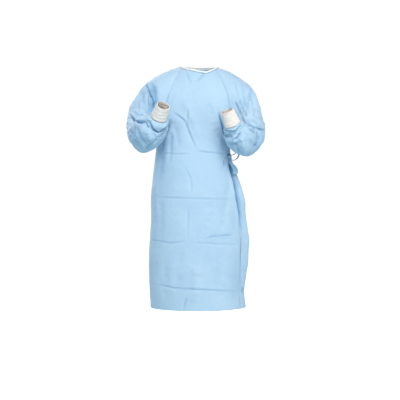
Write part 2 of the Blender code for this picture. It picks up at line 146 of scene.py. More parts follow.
# Each sleeve below the underarm, down to the cuff seam (1): ring centres with x counted
# outwards, the way that each ring faces in degrees (heading 0 is outwards, 90 is forwards;
# dip is below the level), and its half sizes across and towards the front and the back.
ArmRow = namedtuple("ArmRow", "share x y z heading dip across front back")
ARMS = {
    "right": (
        ArmRow(0.14, 0.257, -0.020, -0.205, 18, 38, 0.088, 0.086, 0.088),
        ArmRow(0.28, 0.266, -0.046, -0.236, 42, 48, 0.078, 0.084, 0.087),
        ArmRow(0.42, 0.262, -0.078, -0.264, 66, 46, 0.078, 0.066, 0.087),
        ArmRow(0.56, 0.248, -0.114, -0.286, 90, 31, 0.080, 0.079, 0.087),
        ArmRow(0.70, 0.235, -0.158, -0.290, 104, 8, 0.079, 0.076, 0.081),
        ArmRow(0.82, 0.216, -0.200, -0.274, 111, -14, 0.073, 0.067, 0.075),
        ArmRow(0.90, 0.199, -0.225, -0.258, 114, -29, 0.063, 0.058, 0.066),
        ArmRow(0.94, 0.190, -0.238, -0.246, 116, -35, 0.047, 0.046, 0.048),
        ArmRow(0.98, 0.182, -0.248, -0.235, 117, -41, 0.049, 0.048, 0.050),
        ArmRow(1.00, 0.178, -0.252, -0.229, 119, -47, 0.037, 0.037, 0.037),
    ),
    "left": (
        ArmRow(0.14, 0.228, -0.020, -0.207, 18, 38, 0.089, 0.086, 0.088),
        ArmRow(0.28, 0.237, -0.048, -0.241, 42, 48, 0.080, 0.085, 0.088),
        ArmRow(0.42, 0.232, -0.082, -0.273, 66, 46, 0.082, 0.068, 0.089),
        ArmRow(0.56, 0.218, -0.120, -0.297, 90, 31, 0.082, 0.081, 0.089),
        ArmRow(0.70, 0.203, -0.162, -0.303, 104, 8, 0.083, 0.078, 0.085),
        ArmRow(0.82, 0.184, -0.200, -0.297, 112, -16, 0.075, 0.067, 0.078),
        ArmRow(0.90, 0.170, -0.221, -0.285, 120, -35, 0.064, 0.058, 0.067),
        ArmRow(0.94, 0.162, -0.231, -0.275, 128, -46, 0.047, 0.046, 0.048),
        ArmRow(0.98, 0.154, -0.240, -0.265, 134, -56, 0.049, 0.048, 0.050),
        ArmRow(1.00, 0.150, -0.243, -0.259, 138, -59, 0.037, 0.037, 0.037),
    ),
}
SIGN = {"right": -1, "left": 1}

# The belt's end on the front, from its sewn tack to the knot: where it lies on the panel
# and how far it stands off it.
StrapRow = namedtuple("StrapRow", "x top bottom off")
FRONT_STRAP = (
    StrapRow(0.1110, -0.4130, -0.4340, 0.0),
    StrapRow(0.1180, -0.4075, -0.4275, 0.0),
    StrapRow(0.1250, -0.4020, -0.4190, 0.0006),
    StrapRow(0.1310, -0.3960, -0.4090, 0.0025),
    StrapRow(0.1328, -0.3975, -0.4070, 0.0028),
)
# The belt's free stretches, as offsets from the knot's middle: the half width of the strip
# and the way that its width faces, 0 across the body and 90 from front to back.
StripRow = namedtuple("StripRow", "dx dy dz half angle")
BOW_LOOP = (
    StripRow(0.0067, 0.000, 0.0040, 0.0050, 90),
    StripRow(0.0152, -0.001, 0.0050, 0.0070, 88),
    StripRow(0.0260, -0.002, 0.0108, 0.0085, 84),
    StripRow(0.0349, -0.003, 0.0162, 0.0090, 82),
    StripRow(0.0425, -0.004, 0.0100, 0.0090, 84),
    StripRow(0.0410, -0.004, -0.0033, 0.0090, 88),
    StripRow(0.0335, -0.003, -0.0140, 0.0085, 90),
    StripRow(0.0227, -0.002, -0.0192, 0.0070, 92),
    StripRow(0.0130, -0.001, -0.0178, 0.0050, 94),
)
BELT_TAIL = (
    StripRow(0.0000, -0.0020, -0.0133, 0.0040, 10),
    StripRow(0.0060, -0.0120, -0.0300, 0.0075, 12),
    StripRow(0.0220, -0.0090, -0.0500, 0.0115, 16),
    StripRow(0.0290, -0.0070, -0.0690, 0.0135, 22),
    StripRow(0.0270, -0.0060, -0.0845, 0.0105, 22),
)

# Creases: a groove of a depth along a line, and a lift of the cloth on the left of the line
# with as much of a drop on its right, both in millimetres, as is the width. The line's points
# are in millimetres too. From the front they are in the upright plane through the origin, as
# the camera sees them. From the back they are x and z, and from the side y and z.
# A crease's shade is painted shade: how far the cloth along its line is darkened towards the painted shade
# colours, from 0 to 2.
Crease = namedtuple("Crease", "depth lift width line shade", defaults=(0,))
BODY_FRONT = (
    # Packing folds across the gown, from the waist down, with painted shade along their lines.
    Crease(1.1, 0.8, 3.4, ((-185, -370), (-138, -374), (-100, -376), (-43, -372)), 0.3),
    Crease(1.7, 1.2, 3.6, ((-14, -350), (0, -361), (33, -366), (81, -371), (142, -377)), 0.4),
    Crease(1.0, 0.6, 4, ((-233, -572), (-157, -582), (-43, -586), (81, -589), (185, -591)), 0.2),
    Crease(1.1, 0.6, 4, ((-233, -784), (-171, -791), (-133, -797), (-57, -788)), 0.3),
    Crease(0.9, 0.5, 4, ((-48, -795), (28, -798), (109, -803), (209, -807)), 0.2),
    Crease(1.8, -1.2, 4, ((19, -781), (52, -770), (95, -764), (176, -760)), 0.7),
    Crease(1.3, 0.8, 4, ((-233, -987), (-176, -998), (-109, -1012), (5, -1018), (204, -1029)), 0.4),
    # Upright packing fold and soft folds over the hips.
    Crease(0.9, 0.8, 4, ((-51, -157), (-54, -204), (-53, -247)), 0.2),
    Crease(0.8, 0.6, 4, ((-71, -423), (-52, -466), (-36, -513), (-38, -580)), 0.15),
    Crease(0.8, 0.5, 4, ((-50, -618), (-52, -689), (-54, -788)), 0.1),
    Crease(2.0, 0.0, 18, ((57, -575), (54, -665), (46, -784))),
    Crease(2.2, 0.0, 16, ((152, -499), (128, -622), (107, -765))),
    Crease(1.2, 0.0, 18, ((-157, -860), (-162, -974), (-157, -1097))),
    Crease(1.5, 0.0, 22, ((-90, -803), (-100, -936), (-104, -1059))),
    Crease(-2.6, 0.0, 22, ((-14, -888), (-14, -993), (-24, -1097))),
    Crease(2.0, 0.0, 20, ((104, -812), (109, -955), (100, -1116))),
    Crease(1.4, 0.8, 5, ((-57, -1050), (-65, -1078), (-76, -1119)), 0.3),
    # Long folds that fall from the chest to the waist.
    Crease(2.0, 1.5, 4.4, ((-133, -171), (-100, -193), (-68, -220), (-52, -258), (-35, -299),
                           (-8, -358)), 0.35),
    Crease(-2.4, 0.0, 15, ((-81, -109), (-33, -204), (5, -318))),
    Crease(1.2, 0.0, 13, ((-138, -214), (-109, -271), (-95, -356))),
    Crease(2.6, 0.0, 12, ((28, -100), (62, -195), (95, -309))),
    Crease(1.6, 1.0, 6, ((31, 8), (10, -10), (-10, -33)), 0.3),
    Crease(1.2, 0.6, 5, ((-62, 14), (-52, -14), (-33, -43)), 0.1),
    # Folds under the arms, with painted shade along them where the sleeves shade the body.
    Crease(4.6, 0.0, 6, ((-133, -204), (-147, -247), (-160, -280), (-174, -314), (-185, -366)), 0.85),
    Crease(4.6, 0.0, 15, ((-180, -176), (-185, -280), (-182, -394), (-190, -527)), 0.3),
    Crease(1.8, 0.0, 9, ((-133, -261), (-135, -337), (-142, -432)), 0.2),
    Crease(4.4, 0.0, 6, ((90, -166), (104, -214), (118, -261), (130, -299), (144, -342),
                         (150, -380)), 1.7),
    Crease(-3.2, 0.0, 15, ((57, -176), (76, -252), (95, -318), (104, -366))),
    Crease(-1.4, 0.0, 10, ((-204, -489), (-200, -594), (-195, -708))),
    Crease(1.0, 0.0, 12, ((-185, -594), (-180, -698), (-185, -812))),
    # Pulls towards the knot of the belt.
    Crease(0.9, 0.5, 6, ((81, -397), (109, -391), (141, -388))),
    Crease(0.9, 0.0, 7, ((100, -461), (122, -432), (142, -407))),
    # The valley along the free edge of the wrapped panel, with painted shade in it, and the swell on each
    # side of it.
    Crease(6.4, 0.0, 7, ((141, -366), (154, -440), (171, -508), (185, -587), (197, -651),
                         (204, -727), (206, -784)), 0.9),
    Crease(2.4, 0.0, 9, ((144, -366), (153, -432), (169, -508), (183, -587), (194, -651),
                         (201, -746)), 2.6),
    Crease(1.6, 0.0, 5, ((201, -746), (200, -888), (197, -1097)), 0.3),
    Crease(-2.2, 0.0, 7, ((140, -442), (157, -518), (171, -594), (182, -679), (185, -784))),
    Crease(-4.2, 0.0, 9, ((171, -442), (197, -556), (214, -641), (226, -746), (225, -888),
                          (214, -1050))),
    # A small pit near the hem, darkened with painted shade.
    Crease(2.0, 0.0, 4, ((208, -1005), (207, -1021), (207, -1037)), 0.8),
)
SLEEVE_RIGHT_FRONT = (
    # Folds that fall from the shoulder to the crook of the arm.
    Crease(4.6, 3.6, 5, ((-256, -19), (-247, -57), (-235, -88), (-223, -117), (-218, -142),
                         (-222, -180)), 0.85),
    Crease(2.4, 1.8, 5, ((-256, -52), (-245, -90), (-244, -128), (-236, -162)), 0.35),
    Crease(5.4, 0.0, 13, ((-233, -24), (-216, -76), (-209, -133), (-220, -200)), 0.85),
    # A band of painted shade with no fold of its own, on the upper arm beside the hand.
    Crease(0.0, 0.0, 26, ((-238, -33), (-223, -90), (-220, -147), (-235, -214)), 0.75),
    Crease(-2.0, 0.0, 10, ((-290, -109), (-276, -147), (-266, -180))),
    Crease(2.2, 0.0, 10, ((-266, -62), (-280, -119), (-294, -176)), 0.1),
    # The crook of the arm, with painted shade in its creases.
    Crease(4.4, 3.8, 4.4, ((-331, -190), (-318, -201), (-306, -213), (-288, -222), (-271, -220),
                           (-244, -211)), 0.95),
    Crease(1.6, 0.0, 8, ((-334, -185), (-318, -200), (-294, -218)), 0.75),
    Crease(1.4, 1.2, 6, ((-318, -169), (-290, -189), (-252, -195)), 0.1),
    Crease(3.0, 2.2, 4, ((-266, -218), (-252, -226), (-245, -243), (-231, -255)), 0.7),
    Crease(2.4, 1.6, 4, ((-244, -212), (-232, -229), (-218, -245)), 0.5),
    # Gathers below the cuff, with painted shade in their creases.
    Crease(5.2, 3.6, 4.4, ((-235, -209), (-224, -245), (-210, -262), (-192, -269), (-171, -261),
                           (-133, -228)), 1.0),
    Crease(3.0, 2.0, 5, ((-200, -284), (-174, -283), (-152, -269), (-133, -247)), 0.35),
    Crease(2.0, 1.4, 6, ((-228, -273), (-200, -293), (-162, -294)), 0.1),
    # The forearm.
    Crease(2.2, 1.2, 4, ((-320, -233), (-324, -261), (-315, -299)), 0.5),
    Crease(2.0, 1.2, 4, ((-304, -242), (-308, -271), (-302, -304)), 0.35),
    Crease(3.0, 1.4, 10, ((-299, -233), (-282, -285), (-247, -342))),
    # A wide band of painted shade with no fold of its own, over the forearm.
    Crease(0.0, 0.0, 40, ((-323, -223), (-299, -290), (-252, -337)), 0.28),
    Crease(-3.6, 0.0, 13, ((-252, -256), (-231, -299), (-209, -342))),
    Crease(3.0, 0.0, 9, ((-314, -309), (-271, -347), (-223, -356)), 0.1),
    Crease(2.8, 1.2, 5, ((-185, -304), (-223, -328), (-261, -361)), 0.2),
)
SLEEVE_LEFT_FRONT = (
    # Folds that fall from the shoulder to the crook of the arm.
    Crease(2.6, 0.0, 10, ((171, -14), (190, -81), (207, -157))),
    Crease(2.4, 1.4, 8, ((206, -24), (218, -90), (231, -185)), 0.15),
    Crease(-2.6, 0.0, 9, ((228, -43), (245, -109), (259, -195))),
    Crease(2.4, 1.6, 8, ((247, -62), (259, -124), (274, -204)), 0.15),
    Crease(2.6, 1.8, 6, ((171, -124), (188, -164), (204, -200)), 0.35),
    Crease(2.2, 1.6, 5, ((190, -109), (208, -155), (228, -204)), 0.2),
    # The crook of the arm, with painted shade in its creases.
    Crease(3.4, 2.4, 4, ((200, -200), (214, -216), (220, -224), (238, -220)), 0.8),
    Crease(3.6, 3.4, 3.8, ((214, -230), (247, -234), (268, -244), (290, -255),
                           (318, -269)), 0.75),
    Crease(2.8, 2.0, 4, ((236, -249), (250, -260), (261, -266), (273, -281)), 0.7),
    Crease(2.4, 1.6, 4, ((250, -252), (269, -257), (278, -270)), 0.6),
    Crease(1.8, 1.4, 5, ((242, -198), (278, -220), (314, -242)), 0.1),
    # Gathers below the cuff, with painted shade in their creases.
    Crease(5.0, 3.6, 4.4, ((103, -254), (127, -264), (152, -270), (177, -265),
                           (192, -245), (212, -225)), 0.95),
    Crease(3.6, 2.4, 4.4, ((152, -311), (169, -304), (183, -294), (200, -266)), 0.7),
    Crease(3.4, 0.0, 9, ((109, -286), (140, -295), (166, -296)), 0.45),
    Crease(2.2, 1.4, 7, ((128, -323), (163, -331), (204, -309)), 0.1),
    # The forearm.
    Crease(4.6, 2.6, 6, ((278, -261), (285, -290), (283, -318), (261, -361)), 0.6),
    # A wide band of painted shade with no fold of its own, over the forearm.
    Crease(0.0, 0.0, 24, ((124, -271), (152, -318), (185, -356)), 0.3),
    Crease(2.4, 0.0, 9, ((225, -266), (241, -309), (255, -361)), 0.1),
    Crease(-3.2, 0.0, 12, ((192, -290), (207, -328), (221, -375))),
    Crease(2.8, 1.2, 6, ((147, -307), (176, -339), (200, -378)), 0.2),
    Crease(2.0, 0.0, 7, ((207, -256), (220, -299), (227, -347)), 0.1),
)
BODY_BACK = (
    # Packing folds.
    Crease(1.0, 0.6, 4, ((-215, -374), (-60, -380), (80, -376), (150, -382))),
    Crease(1.0, 0.6, 4, ((-235, -579), (-60, -584), (90, -580), (205, -586))),
    Crease(1.1, 0.6, 4, ((-240, -788), (-70, -793), (100, -790), (225, -797))),
    Crease(1.1, 0.7, 4, ((-240, -985), (-80, -992), (90, -990), (215, -998))),
    Crease(0.9, 0.6, 4, ((-62, -40), (-66, -300), (-60, -620), (-64, -900), (-60, -1098))),
    Crease(0.8, 0.5, 4, ((82, -120), (86, -420), (90, -700), (88, -1098))),
    # Long folds that hang from the shoulder blades and the belt.
    Crease(4.5, 0.0, 20, ((-128, -150), (-120, -300), (-130, -480), (-150, -700), (-160, -960))),
    Crease(-4.0, 0.0, 24, ((-90, -160), (-88, -330), (-96, -560), (-108, -820), (-112, -1098))),
    Crease(4.0, 0.0, 18, ((-40, -240), (-34, -420), (-30, -640), (-36, -900), (-40, -1098))),
    Crease(-3.6, 0.0, 24, ((8, -200), (14, -420), (20, -700), (24, -1098))),
    Crease(4.6, 0.0, 19, ((62, -260), (58, -420), (70, -640), (80, -900), (84, -1098))),
    Crease(-3.2, 0.0, 20, ((110, -300), (104, -420), (130, -640), (146, -960))),
    Crease(3.6, 0.0, 16, ((-175, -420), (-190, -600), (-200, -820))),
    Crease(2.8, 0.0, 14, ((40, -90), (70, -190), (96, -300))),
    Crease(2.6, 0.0, 14, ((-52, -86), (-88, -180), (-120, -260))),
    # Pulls towards the belt at the waist.
    Crease(2.4, 1.0, 7, ((-20, -360), (50, -382), (120, -390))),
    Crease(2.2, -1.0, 7, ((-10, -428), (56, -410), (124, -398))),
    Crease(1.6, 1.2, 6, ((-120, -336), (-60, -352), (-10, -356))),
)
# Where a sleeve's outline leaves its plain tube: a place in the camera's view, the reach round it
# and the height of the swell, in millimetres.
SLEEVE_SWELLS = {
    "right": (((-268, -361), 30, 9),),
    "left": (((226, -375), 32, 10), ((309, -176), 62, -10)),
}
SLEEVE_BACK = (
    # x is counted outwards here, so the same folds serve both sleeves.
    Crease(3.0, 0.0, 12, ((150, -40), (190, -90), (216, -150))),
    Crease(-2.6, 0.0, 12, ((176, -28), (216, -70), (248, -130))),
    Crease(3.0, 0.0, 11, ((200, -30), (244, -90), (276, -160))),
    Crease(2.8, 1.2, 8, ((190, -162), (226, -194), (270, -202), (312, -190)), 0.3),
    Crease(2.6, 1.2, 6, ((188, -210), (224, -234), (264, -243), (314, -236)), 0.35),
    Crease(3.0, -1.2, 8, ((186, -262), (226, -284), (284, -284)), 0.2),
    Crease(2.2, 0.0, 9, ((216, -130), (236, -168), (246, -210))),
)
SLEEVE_SIDE = (
    # y and z, seen from outside the arm.
    Crease(2.4, 0.0, 13, ((-52, -40), (-60, -96), (-78, -150), (-92, -196))),
    Crease(-2.4, 0.0, 14, ((-24, -30), (-30, -96), (-44, -160), (-60, -206))),
    Crease(2.6, 0.0, 12, ((4, -44), (2, -104), (-12, -164), (-34, -214))),
    Crease(-2.2, 0.0, 14, ((34, -50), (34, -120), (20, -180), (-6, -226))),
    Crease(2.8, 0.0, 12, ((60, -84), (56, -150), (40, -210), (14, -250))),
    Crease(1.0, 0.6, 8, ((-128, -204), (-92, -214), (-50, -218), (-10, -206), (24, -188)), 0.4),
    Crease(1.0, 0.6, 8, ((-118, -230), (-80, -243), (-36, -250), (8, -240)), 0.35),
    Crease(1.3, 0.8, 6, ((-100, -252), (-64, -266), (-20, -272)), 0.3),
    Crease(2.6, -1.2, 8, ((-110, -330), (-66, -316), (-20, -288), (34, -256))),
    Crease(2.0, 0.0, 9, ((-150, -340), (-104, -338), (-60, -332))),
    Crease(2.4, 1.0, 6, ((-226, -232), (-196, -262), (-160, -284), (-120, -292))),
    Crease(2.4, 1.0, 6, ((-224, -262), (-190, -296), (-150, -318))),
    Crease(2.0, 1.0, 5, ((-206, -216), (-176, -236), (-140, -250))),
)


def value(rows, name, place):
    """One column of a table at any places along it, as a smooth curve through its rows."""
    places = np.array([row[0] for row in rows], float)
    values = np.array([getattr(row, name) for row in rows], float)
    slopes = np.empty(len(rows))
    slopes[1:-1] = (values[2:] - values[:-2]) / (places[2:] - places[:-2])
    slopes[0] = (values[1] - values[0]) / (places[1] - places[0])
    slopes[-1] = (values[-1] - values[-2]) / (places[-1] - places[-2])
    place = np.clip(place, places[0], places[-1])
    k = np.clip(np.searchsorted(places, place) - 1, 0, len(rows) - 2)
    width = places[k + 1] - places[k]
    q = (place - places[k]) / width
    start = values[k] * (2 * q**3 - 3 * q**2 + 1) + slopes[k] * width * (q**3 - 2 * q**2 + q)
    end = values[k + 1] * (3 * q**2 - 2 * q**3) + slopes[k + 1] * width * (q**3 - q**2)
    return start + end


def step(low, high, place):
    """Smooth rise from 0 at low to 1 at high."""
    q = np.clip((np.asarray(place, float) - low) / (high - low), 0, 1)
    return q * q * (3 - 2 * q)


def bump(distance, width):
    """Soft round hump of height 1."""
    return np.exp(-(distance / width) ** 2)


def points(x, y, z):
    """Points from arrays of their coordinates."""
    return np.stack(np.broadcast_arrays(x, y, z), axis=-1)


def arch(middle, end, turn, share, bend=1):
    """Part of a row of the body, from its middle (0) to its end (1).

    With a bend below 1, the row comes to a softer or sharper point at its middle.
    """
    along = np.sin(turn * share) / np.sin(turn)
    away = (1 - np.cos(turn * share)) / (1 - np.cos(turn))
    mix = points(along, away, away**bend)
    return middle + (end - middle) * mix


def cap_point(side, share, across):
    """Points of a sleeve above the underarm: across runs from front seam (-1) to back (1)."""
    table = CAPS[side]
    turn = np.radians(value(table, "turn", share))
    in_front = across < 0
    depth = np.where(in_front, value(table, "front", share), value(table, "back", share))
    foot_x = np.where(in_front, value(table, "front_x", share), value(table, "back_x", share))
    foot_z = np.where(in_front, value(table, "front_z", share), value(table, "back_z", share))
    top_x = value(table, "top_x", share)
    top_z = value(table, "top_z", share)
    angle = across * turn
    inwards = (1 - np.cos(angle)) / (1 - np.cos(turn))
    x = top_x + (foot_x - top_x) * inwards
    z = top_z + (foot_z - top_z) * inwards
    return points(SIGN[side] * x, depth * np.sin(angle), z)


def body_row(level):
    """Right end, front middle, left end, back middle, back ends and turn of each row.

    A level below 0 is a height below the underarms, and from 0 to 1 a share of the yoke.
    """
    height = BODY[-1].height + np.minimum(level, 0)
    right_x = value(BODY, "right", height)
    left_x = value(BODY, "left", height)
    middle_x = (right_x + left_x) / 2
    below = [
        points(right_x, 0, height),
        points(left_x, 0, height),
        points(middle_x, value(BODY, "front", height), height),
        points(right_x, 0, height),
        points(left_x, 0, height),
        points(middle_x, value(BODY, "back", height), height),
    ]
    share = np.maximum(level, 0)
    above = [
        cap_point("right", share, np.full_like(share, -1)),
        cap_point("left", share, np.full_like(share, -1)),
        points(*[value(YOKE, name, share) for name in ("fx", "fy", "fz")]),
        cap_point("right", share, np.full_like(share, 1)),
        cap_point("left", share, np.full_like(share, 1)),
        points(*[value(YOKE, name, share) for name in ("bx", "by", "bz")]),
    ]
    low = (level < 0)[..., None]
    turn = np.where(level < 0, pi / 2, np.radians(value(YOKE, "turn", share)))
    return [np.where(low, a, b) for a, b in zip(below, above)] + [turn]


def front_point(level, across):
    """Points of the front: across runs from the wearer's right (-1) to the left (1)."""
    right, left, front, _, _, _, turn = body_row(level)
    end = np.where((across < 0)[..., None], right, left)
    bend = 1 - NECK_POINT * step(NECK_POINT_FROM, 1, level)
    return arch(front, end, turn, np.abs(across), bend)


def back_point(level, round_back):
    """Points of the back: 0 at the right side, 1 at the left side, and past 1 on the front."""
    right, left, front, back_right, back_left, back, turn = body_row(level)
    across = 2 * round_back - 1
    end = np.where((across < 0)[..., None], back_right, back_left)
    behind = arch(back, end, turn, np.abs(across))
    before = arch(front, left, turn, 3 - 2 * round_back)
    return np.where((round_back > 1)[..., None], before, behind)


def unit(vectors):
    """Vectors of length 1."""
    return vectors / np.maximum(np.linalg.norm(vectors, axis=-1, keepdims=True), 1e-12)


def surface_normals(surface, level, place):
    """Unit normals of a surface of the body, away from its middle."""
    small = 0.001
    along = surface(level, place + small) - surface(level, place - small)
    up = surface(level + small, place) - surface(level - small, place)
    normal = unit(np.cross(along, up))
    here = surface(level, place)
    inside = points(0, 0, here[..., 2] - 0.05)
    away = np.sum(normal * (here - inside), axis=-1, keepdims=True)
    return np.where(away > 0, normal, -normal)


def outer_edge(level):
    """How far round the wrapped outer panel reaches at each level."""
    height = BODY[-1].height + np.minimum(level, 0)
    left_x = value(BODY, "left", height)
    middle_x = (value(BODY, "right", height) + left_x) / 2
    reach = np.minimum((value(BODY, "flap_edge", height) - middle_x) / (left_x - middle_x), 1)
    on_front = 1.5 - np.arcsin(reach) / pi
    below = step(0, FLAP_TURN, -level)
    under = YOKE[0].outer_edge * (1 - below) + on_front * below
    return np.where(level < 0, under, value(YOKE, "outer_edge", np.maximum(level, 0)))


def inner_edge(level):
    """How far round the inner panel starts at each level."""
    return value(YOKE, "inner_edge", np.maximum(level, 0))


def wrap_lift(round_back):
    """How far the outer panel is lifted off the layer that it lies on."""
    slack = step(WRAP_RISE, SLACK_FULL, round_back) * (1 - step(1, SLACK_END, round_back))
    return WRAP_LIFT * step(0, WRAP_RISE, round_back) + WRAP_SLACK * slack


def wrap_point(level, round_back):
    """Points of the outer panel."""
    normal = surface_normals(back_point, level, round_back)
    return back_point(level, round_back) + normal * wrap_lift(round_back)[..., None]


def arm_rows(side):
    """The sleeve's table of rings, with the first worked out from the cap's first row."""
    cap = CAPS[side][0]
    rise = cap.top_z - cap.front_z
    run = cap.top_x - cap.front_x
    half = (rise * rise + run * run) ** 0.5 / 2
    middle_x = (cap.top_x + cap.front_x) / 2
    middle_z = (cap.top_z + cap.front_z) / 2
    dip = np.degrees(np.arcsin(run / (2 * half)))
    first = ArmRow(0, middle_x, 0, middle_z, 0, dip, half, cap.front, cap.back)
    return (first,) + ARMS[side]


def ring_facing(rows, share):
    """Unit vector along the sleeve at a ring, with x outwards."""
    heading = radians(value(rows, "heading", share))
    dip = radians(value(rows, "dip", share))
    return Vector((cos(heading) * cos(dip), -sin(heading) * cos(dip), -sin(dip)))


def arm_frames(side, shares):
    """Centre, facing, outward axis and back axis of each ring, turned along without twist."""
    rows = arm_rows(side)
    facing = ring_facing(rows, 0)
    back_axis = Vector((0, 1, 0))
    back_axes = []
    for i in range(TURN_STEPS + 1):
        new_facing = ring_facing(rows, i / TURN_STEPS)
        back_axis = facing.rotation_difference(new_facing) @ back_axis
        facing = new_facing
        back_axes.append(back_axis)
    frames = []
    for share in shares:
        facing = ring_facing(rows, share)
        place = min(share * TURN_STEPS, TURN_STEPS - 1e-6)
        low = int(place)
        back_axis = back_axes[low].lerp(back_axes[low + 1], place - low)
        back_axis = (back_axis - facing * back_axis.dot(facing)).normalized()
        centre = Vector([value(rows, name, share) for name in "xyz"])
        frames.append((centre, facing, facing.cross(back_axis), back_axis))
    return frames


def arm_point(side, shares, across):
    """Rows of points round the sleeve below the underarm, one row for each share."""
    rows = arm_rows(side)
    frames = arm_frames(side, shares)
    centre = np.array([frame[0] for frame in frames])[:, None, :]
    out_axis = np.array([frame[2] for frame in frames])[:, None, :]
    back_axis = np.array([frame[3] for frame in frames])[:, None, :]
    share = np.array(shares)[:, None]
    angle = (across * pi)[None, :]
    front = value(rows, "front", share)
    back = value(rows, "back", share)
    depth = np.where(angle < 0, front, back) * np.sin(angle)
    reach = value(rows, "across", share) * np.cos(angle)
    local = centre + out_axis * reach[..., None] + back_axis * depth[..., None]
    return local * np.array([SIGN[side], 1, 1])


def spread(low, high, count):
    """Evenly spaced places from low to high."""
    return np.linspace(low, high, count + 1)


def edged(count, reach):
    """Places from 0 to 1, with more of them close to both ends for the seams."""
    near = np.array([0.0, 0.25, 0.5, 0.75]) * reach
    middle = np.linspace(reach, 1 - reach, count + 1)
    return np.concatenate([near, middle, 1 - near[::-1]])


def grid_normals(grid, closed=False):
    """Unit normals of a grid of points, facing out where rows go up and run to the right."""
    if closed:
        wide = np.concatenate([grid[:, -1:], grid, grid[:, :1]], axis=1)
        along = wide[:, 2:] - wide[:, :-2]
    else:
        along = np.gradient(grid, axis=1)
    up = np.gradient(grid, axis=0)
    return unit(np.cross(along, up))


def smooth_line(line, parts=6):
    """More points along a line, as a smooth curve through its own."""
    places = range(len(line))
    rows = [LinePoint(k, *point) for k, point in zip(places, line)]
    at = np.linspace(0, len(line) - 1, parts * (len(line) - 1) + 1)
    return np.stack([value(rows, "u", at), value(rows, "v", at)], axis=-1)


LinePoint = namedtuple("LinePoint", "place u v")


def crease_shape(crease, u, v, seed, gain):
    """Height of a crease at places in its view, in metres, and the painted shade laid along it."""
    line = smooth_line(crease.line) / 1000
    lengths = np.linalg.norm(np.diff(line, axis=0), axis=1)
    starts = np.concatenate([[0], np.cumsum(lengths)])
    nearest = np.full(u.shape, np.inf)
    offset = np.zeros(u.shape)
    along = np.zeros(u.shape)
    for k, length in enumerate(lengths):
        du, dv = (line[k + 1] - line[k]) / length
        pu = u - line[k][0]
        pv = v - line[k][1]
        t = np.clip(pu * du + pv * dv, 0, length)
        gap = np.hypot(pu - t * du, pv - t * dv)
        closer = gap < nearest
        nearest = np.where(closer, gap, nearest)
        side = np.sign(du * pv - dv * pu)
        offset = np.where(closer, gap * side, offset)
        along = np.where(closer, (starts[k] + t) / starts[-1], along)
    width = crease.width / 1000
    ends = step(0, 0.25, along) * step(0, 0.25, 1 - along)
    uneven = 1 + 0.22 * np.sin(along * 17 + seed) + 0.13 * np.sin(along * 41 + 2 * seed)
    groove = -gain * crease.depth * bump(offset, width)
    lift = gain * crease.lift * np.tanh(offset / (0.6 * width)) * bump(offset, 2.6 * width)
    # Painted shade along the crease line, as strong as the crease's shade.
    painted_shade = crease.shade * bump(offset, SHADE_WIDTH * width)
    return (groove + lift) / 1000 * ends * uneven, painted_shade * ends


def front_view(grid):
    """Where the camera sees points, on the upright plane through the origin."""
    eye = np.array(CAMERA_PLACE)
    grow = -eye[1] / (grid[..., 1] - eye[1])
    u = eye[0] + (grid[..., 0] - eye[0]) * grow
    v = eye[2] + (grid[..., 2] - eye[2]) * grow
    return u, v


def creased(creases, u, v, facing, gain):
    """Height of several creases, and the painted shade laid along them.

    They show only where the cloth faces the side that they are seen from.
    """
    shown = step(0.06, 0.4, facing)
    height = np.zeros(u.shape)
    painted_shade = np.zeros(u.shape)
    for seed, crease in enumerate(creases):
        shape, share = crease_shape(crease, u, v, seed * 1.7, gain)
        height += shape
        painted_shade = np.maximum(painted_shade, share)
    return height * shown, painted_shade * step(0.03, 0.22, facing)


def crumple(grid, seed, size, strength):
    """Fine facets of handled nonwoven cloth: folded waves in many directions."""
    rng = np.random.default_rng(seed)
    height = np.zeros(grid.shape[:-1])
    warp = np.zeros(grid.shape)
    for _ in range(5):
        way = unit(rng.normal(size=3))
        push = unit(rng.normal(size=3))
        wave = np.sin((grid @ way) / (size * rng.uniform(0.5, 1.1)) * 2 * pi + rng.uniform(0, 6))
        warp += push * wave[..., None] * size * 0.10
    place = grid + warp
    for _ in range(9):
        way = unit(rng.normal(size=3))
        length = size * rng.uniform(0.35, 1.25)
        phase = (place @ way) / length + rng.uniform(0, 1)
        fold = np.abs((phase % 1) - 0.5) * 2
        mask_way = unit(rng.normal(size=3))
        mask = 0.5 + 0.5 * np.sin((grid @ mask_way) / (size * 1.6) * 2 * pi + rng.uniform(0, 6))
        height += (fold - 0.5) * mask**1.5 * length / size
    return height * strength


def sewn(grid, edges):
    """How calm the cloth is kept near sewn edges, and the dip of its edge into the seam.

    edges names the sewn sides of the grid: first and last column, first and last row.
    """
    calm = np.ones(grid.shape[:-1])
    dip = np.zeros(grid.shape[:-1])
    cols = np.linalg.norm(np.diff(grid, axis=1), axis=-1)
    rows = np.linalg.norm(np.diff(grid, axis=0), axis=-1)
    from_left = np.concatenate([np.zeros((grid.shape[0], 1)), np.cumsum(cols, axis=1)], axis=1)
    from_below = np.concatenate([np.zeros((1, grid.shape[1])), np.cumsum(rows, axis=0)], axis=0)
    distances = {
        "left": from_left,
        "right": from_left[:, -1:] - from_left,
        "bottom": from_below,
        "top": from_below[-1:] - from_below,
    }
    for edge in edges:
        distance = distances[edge]
        calm *= step(-0.002, SEAM_CALM, distance)
        dip -= SEAM_DIP * bump(distance, SEAM_REACH)
    return calm, dip


def measured_cut(grid):
    """Area of a sheet through a grid of points."""
    a = grid[:-1, :-1]
    b = grid[:-1, 1:]
    c = grid[1:, 1:]
    d = grid[1:, :-1]
    return float(np.linalg.norm(np.cross(c - a, d - b), axis=-1).sum() / 2)


def mark_painted_shade(mesh, painted_shade):
    """Keep on a mesh how much painted shade darkens its cloth at each point."""
    marks = mesh.color_attributes.new("painted_shade", "FLOAT_COLOR", "POINT")
    marks.data.foreach_set("color", np.repeat(np.clip(painted_shade, 0, 2).reshape(-1), 4))


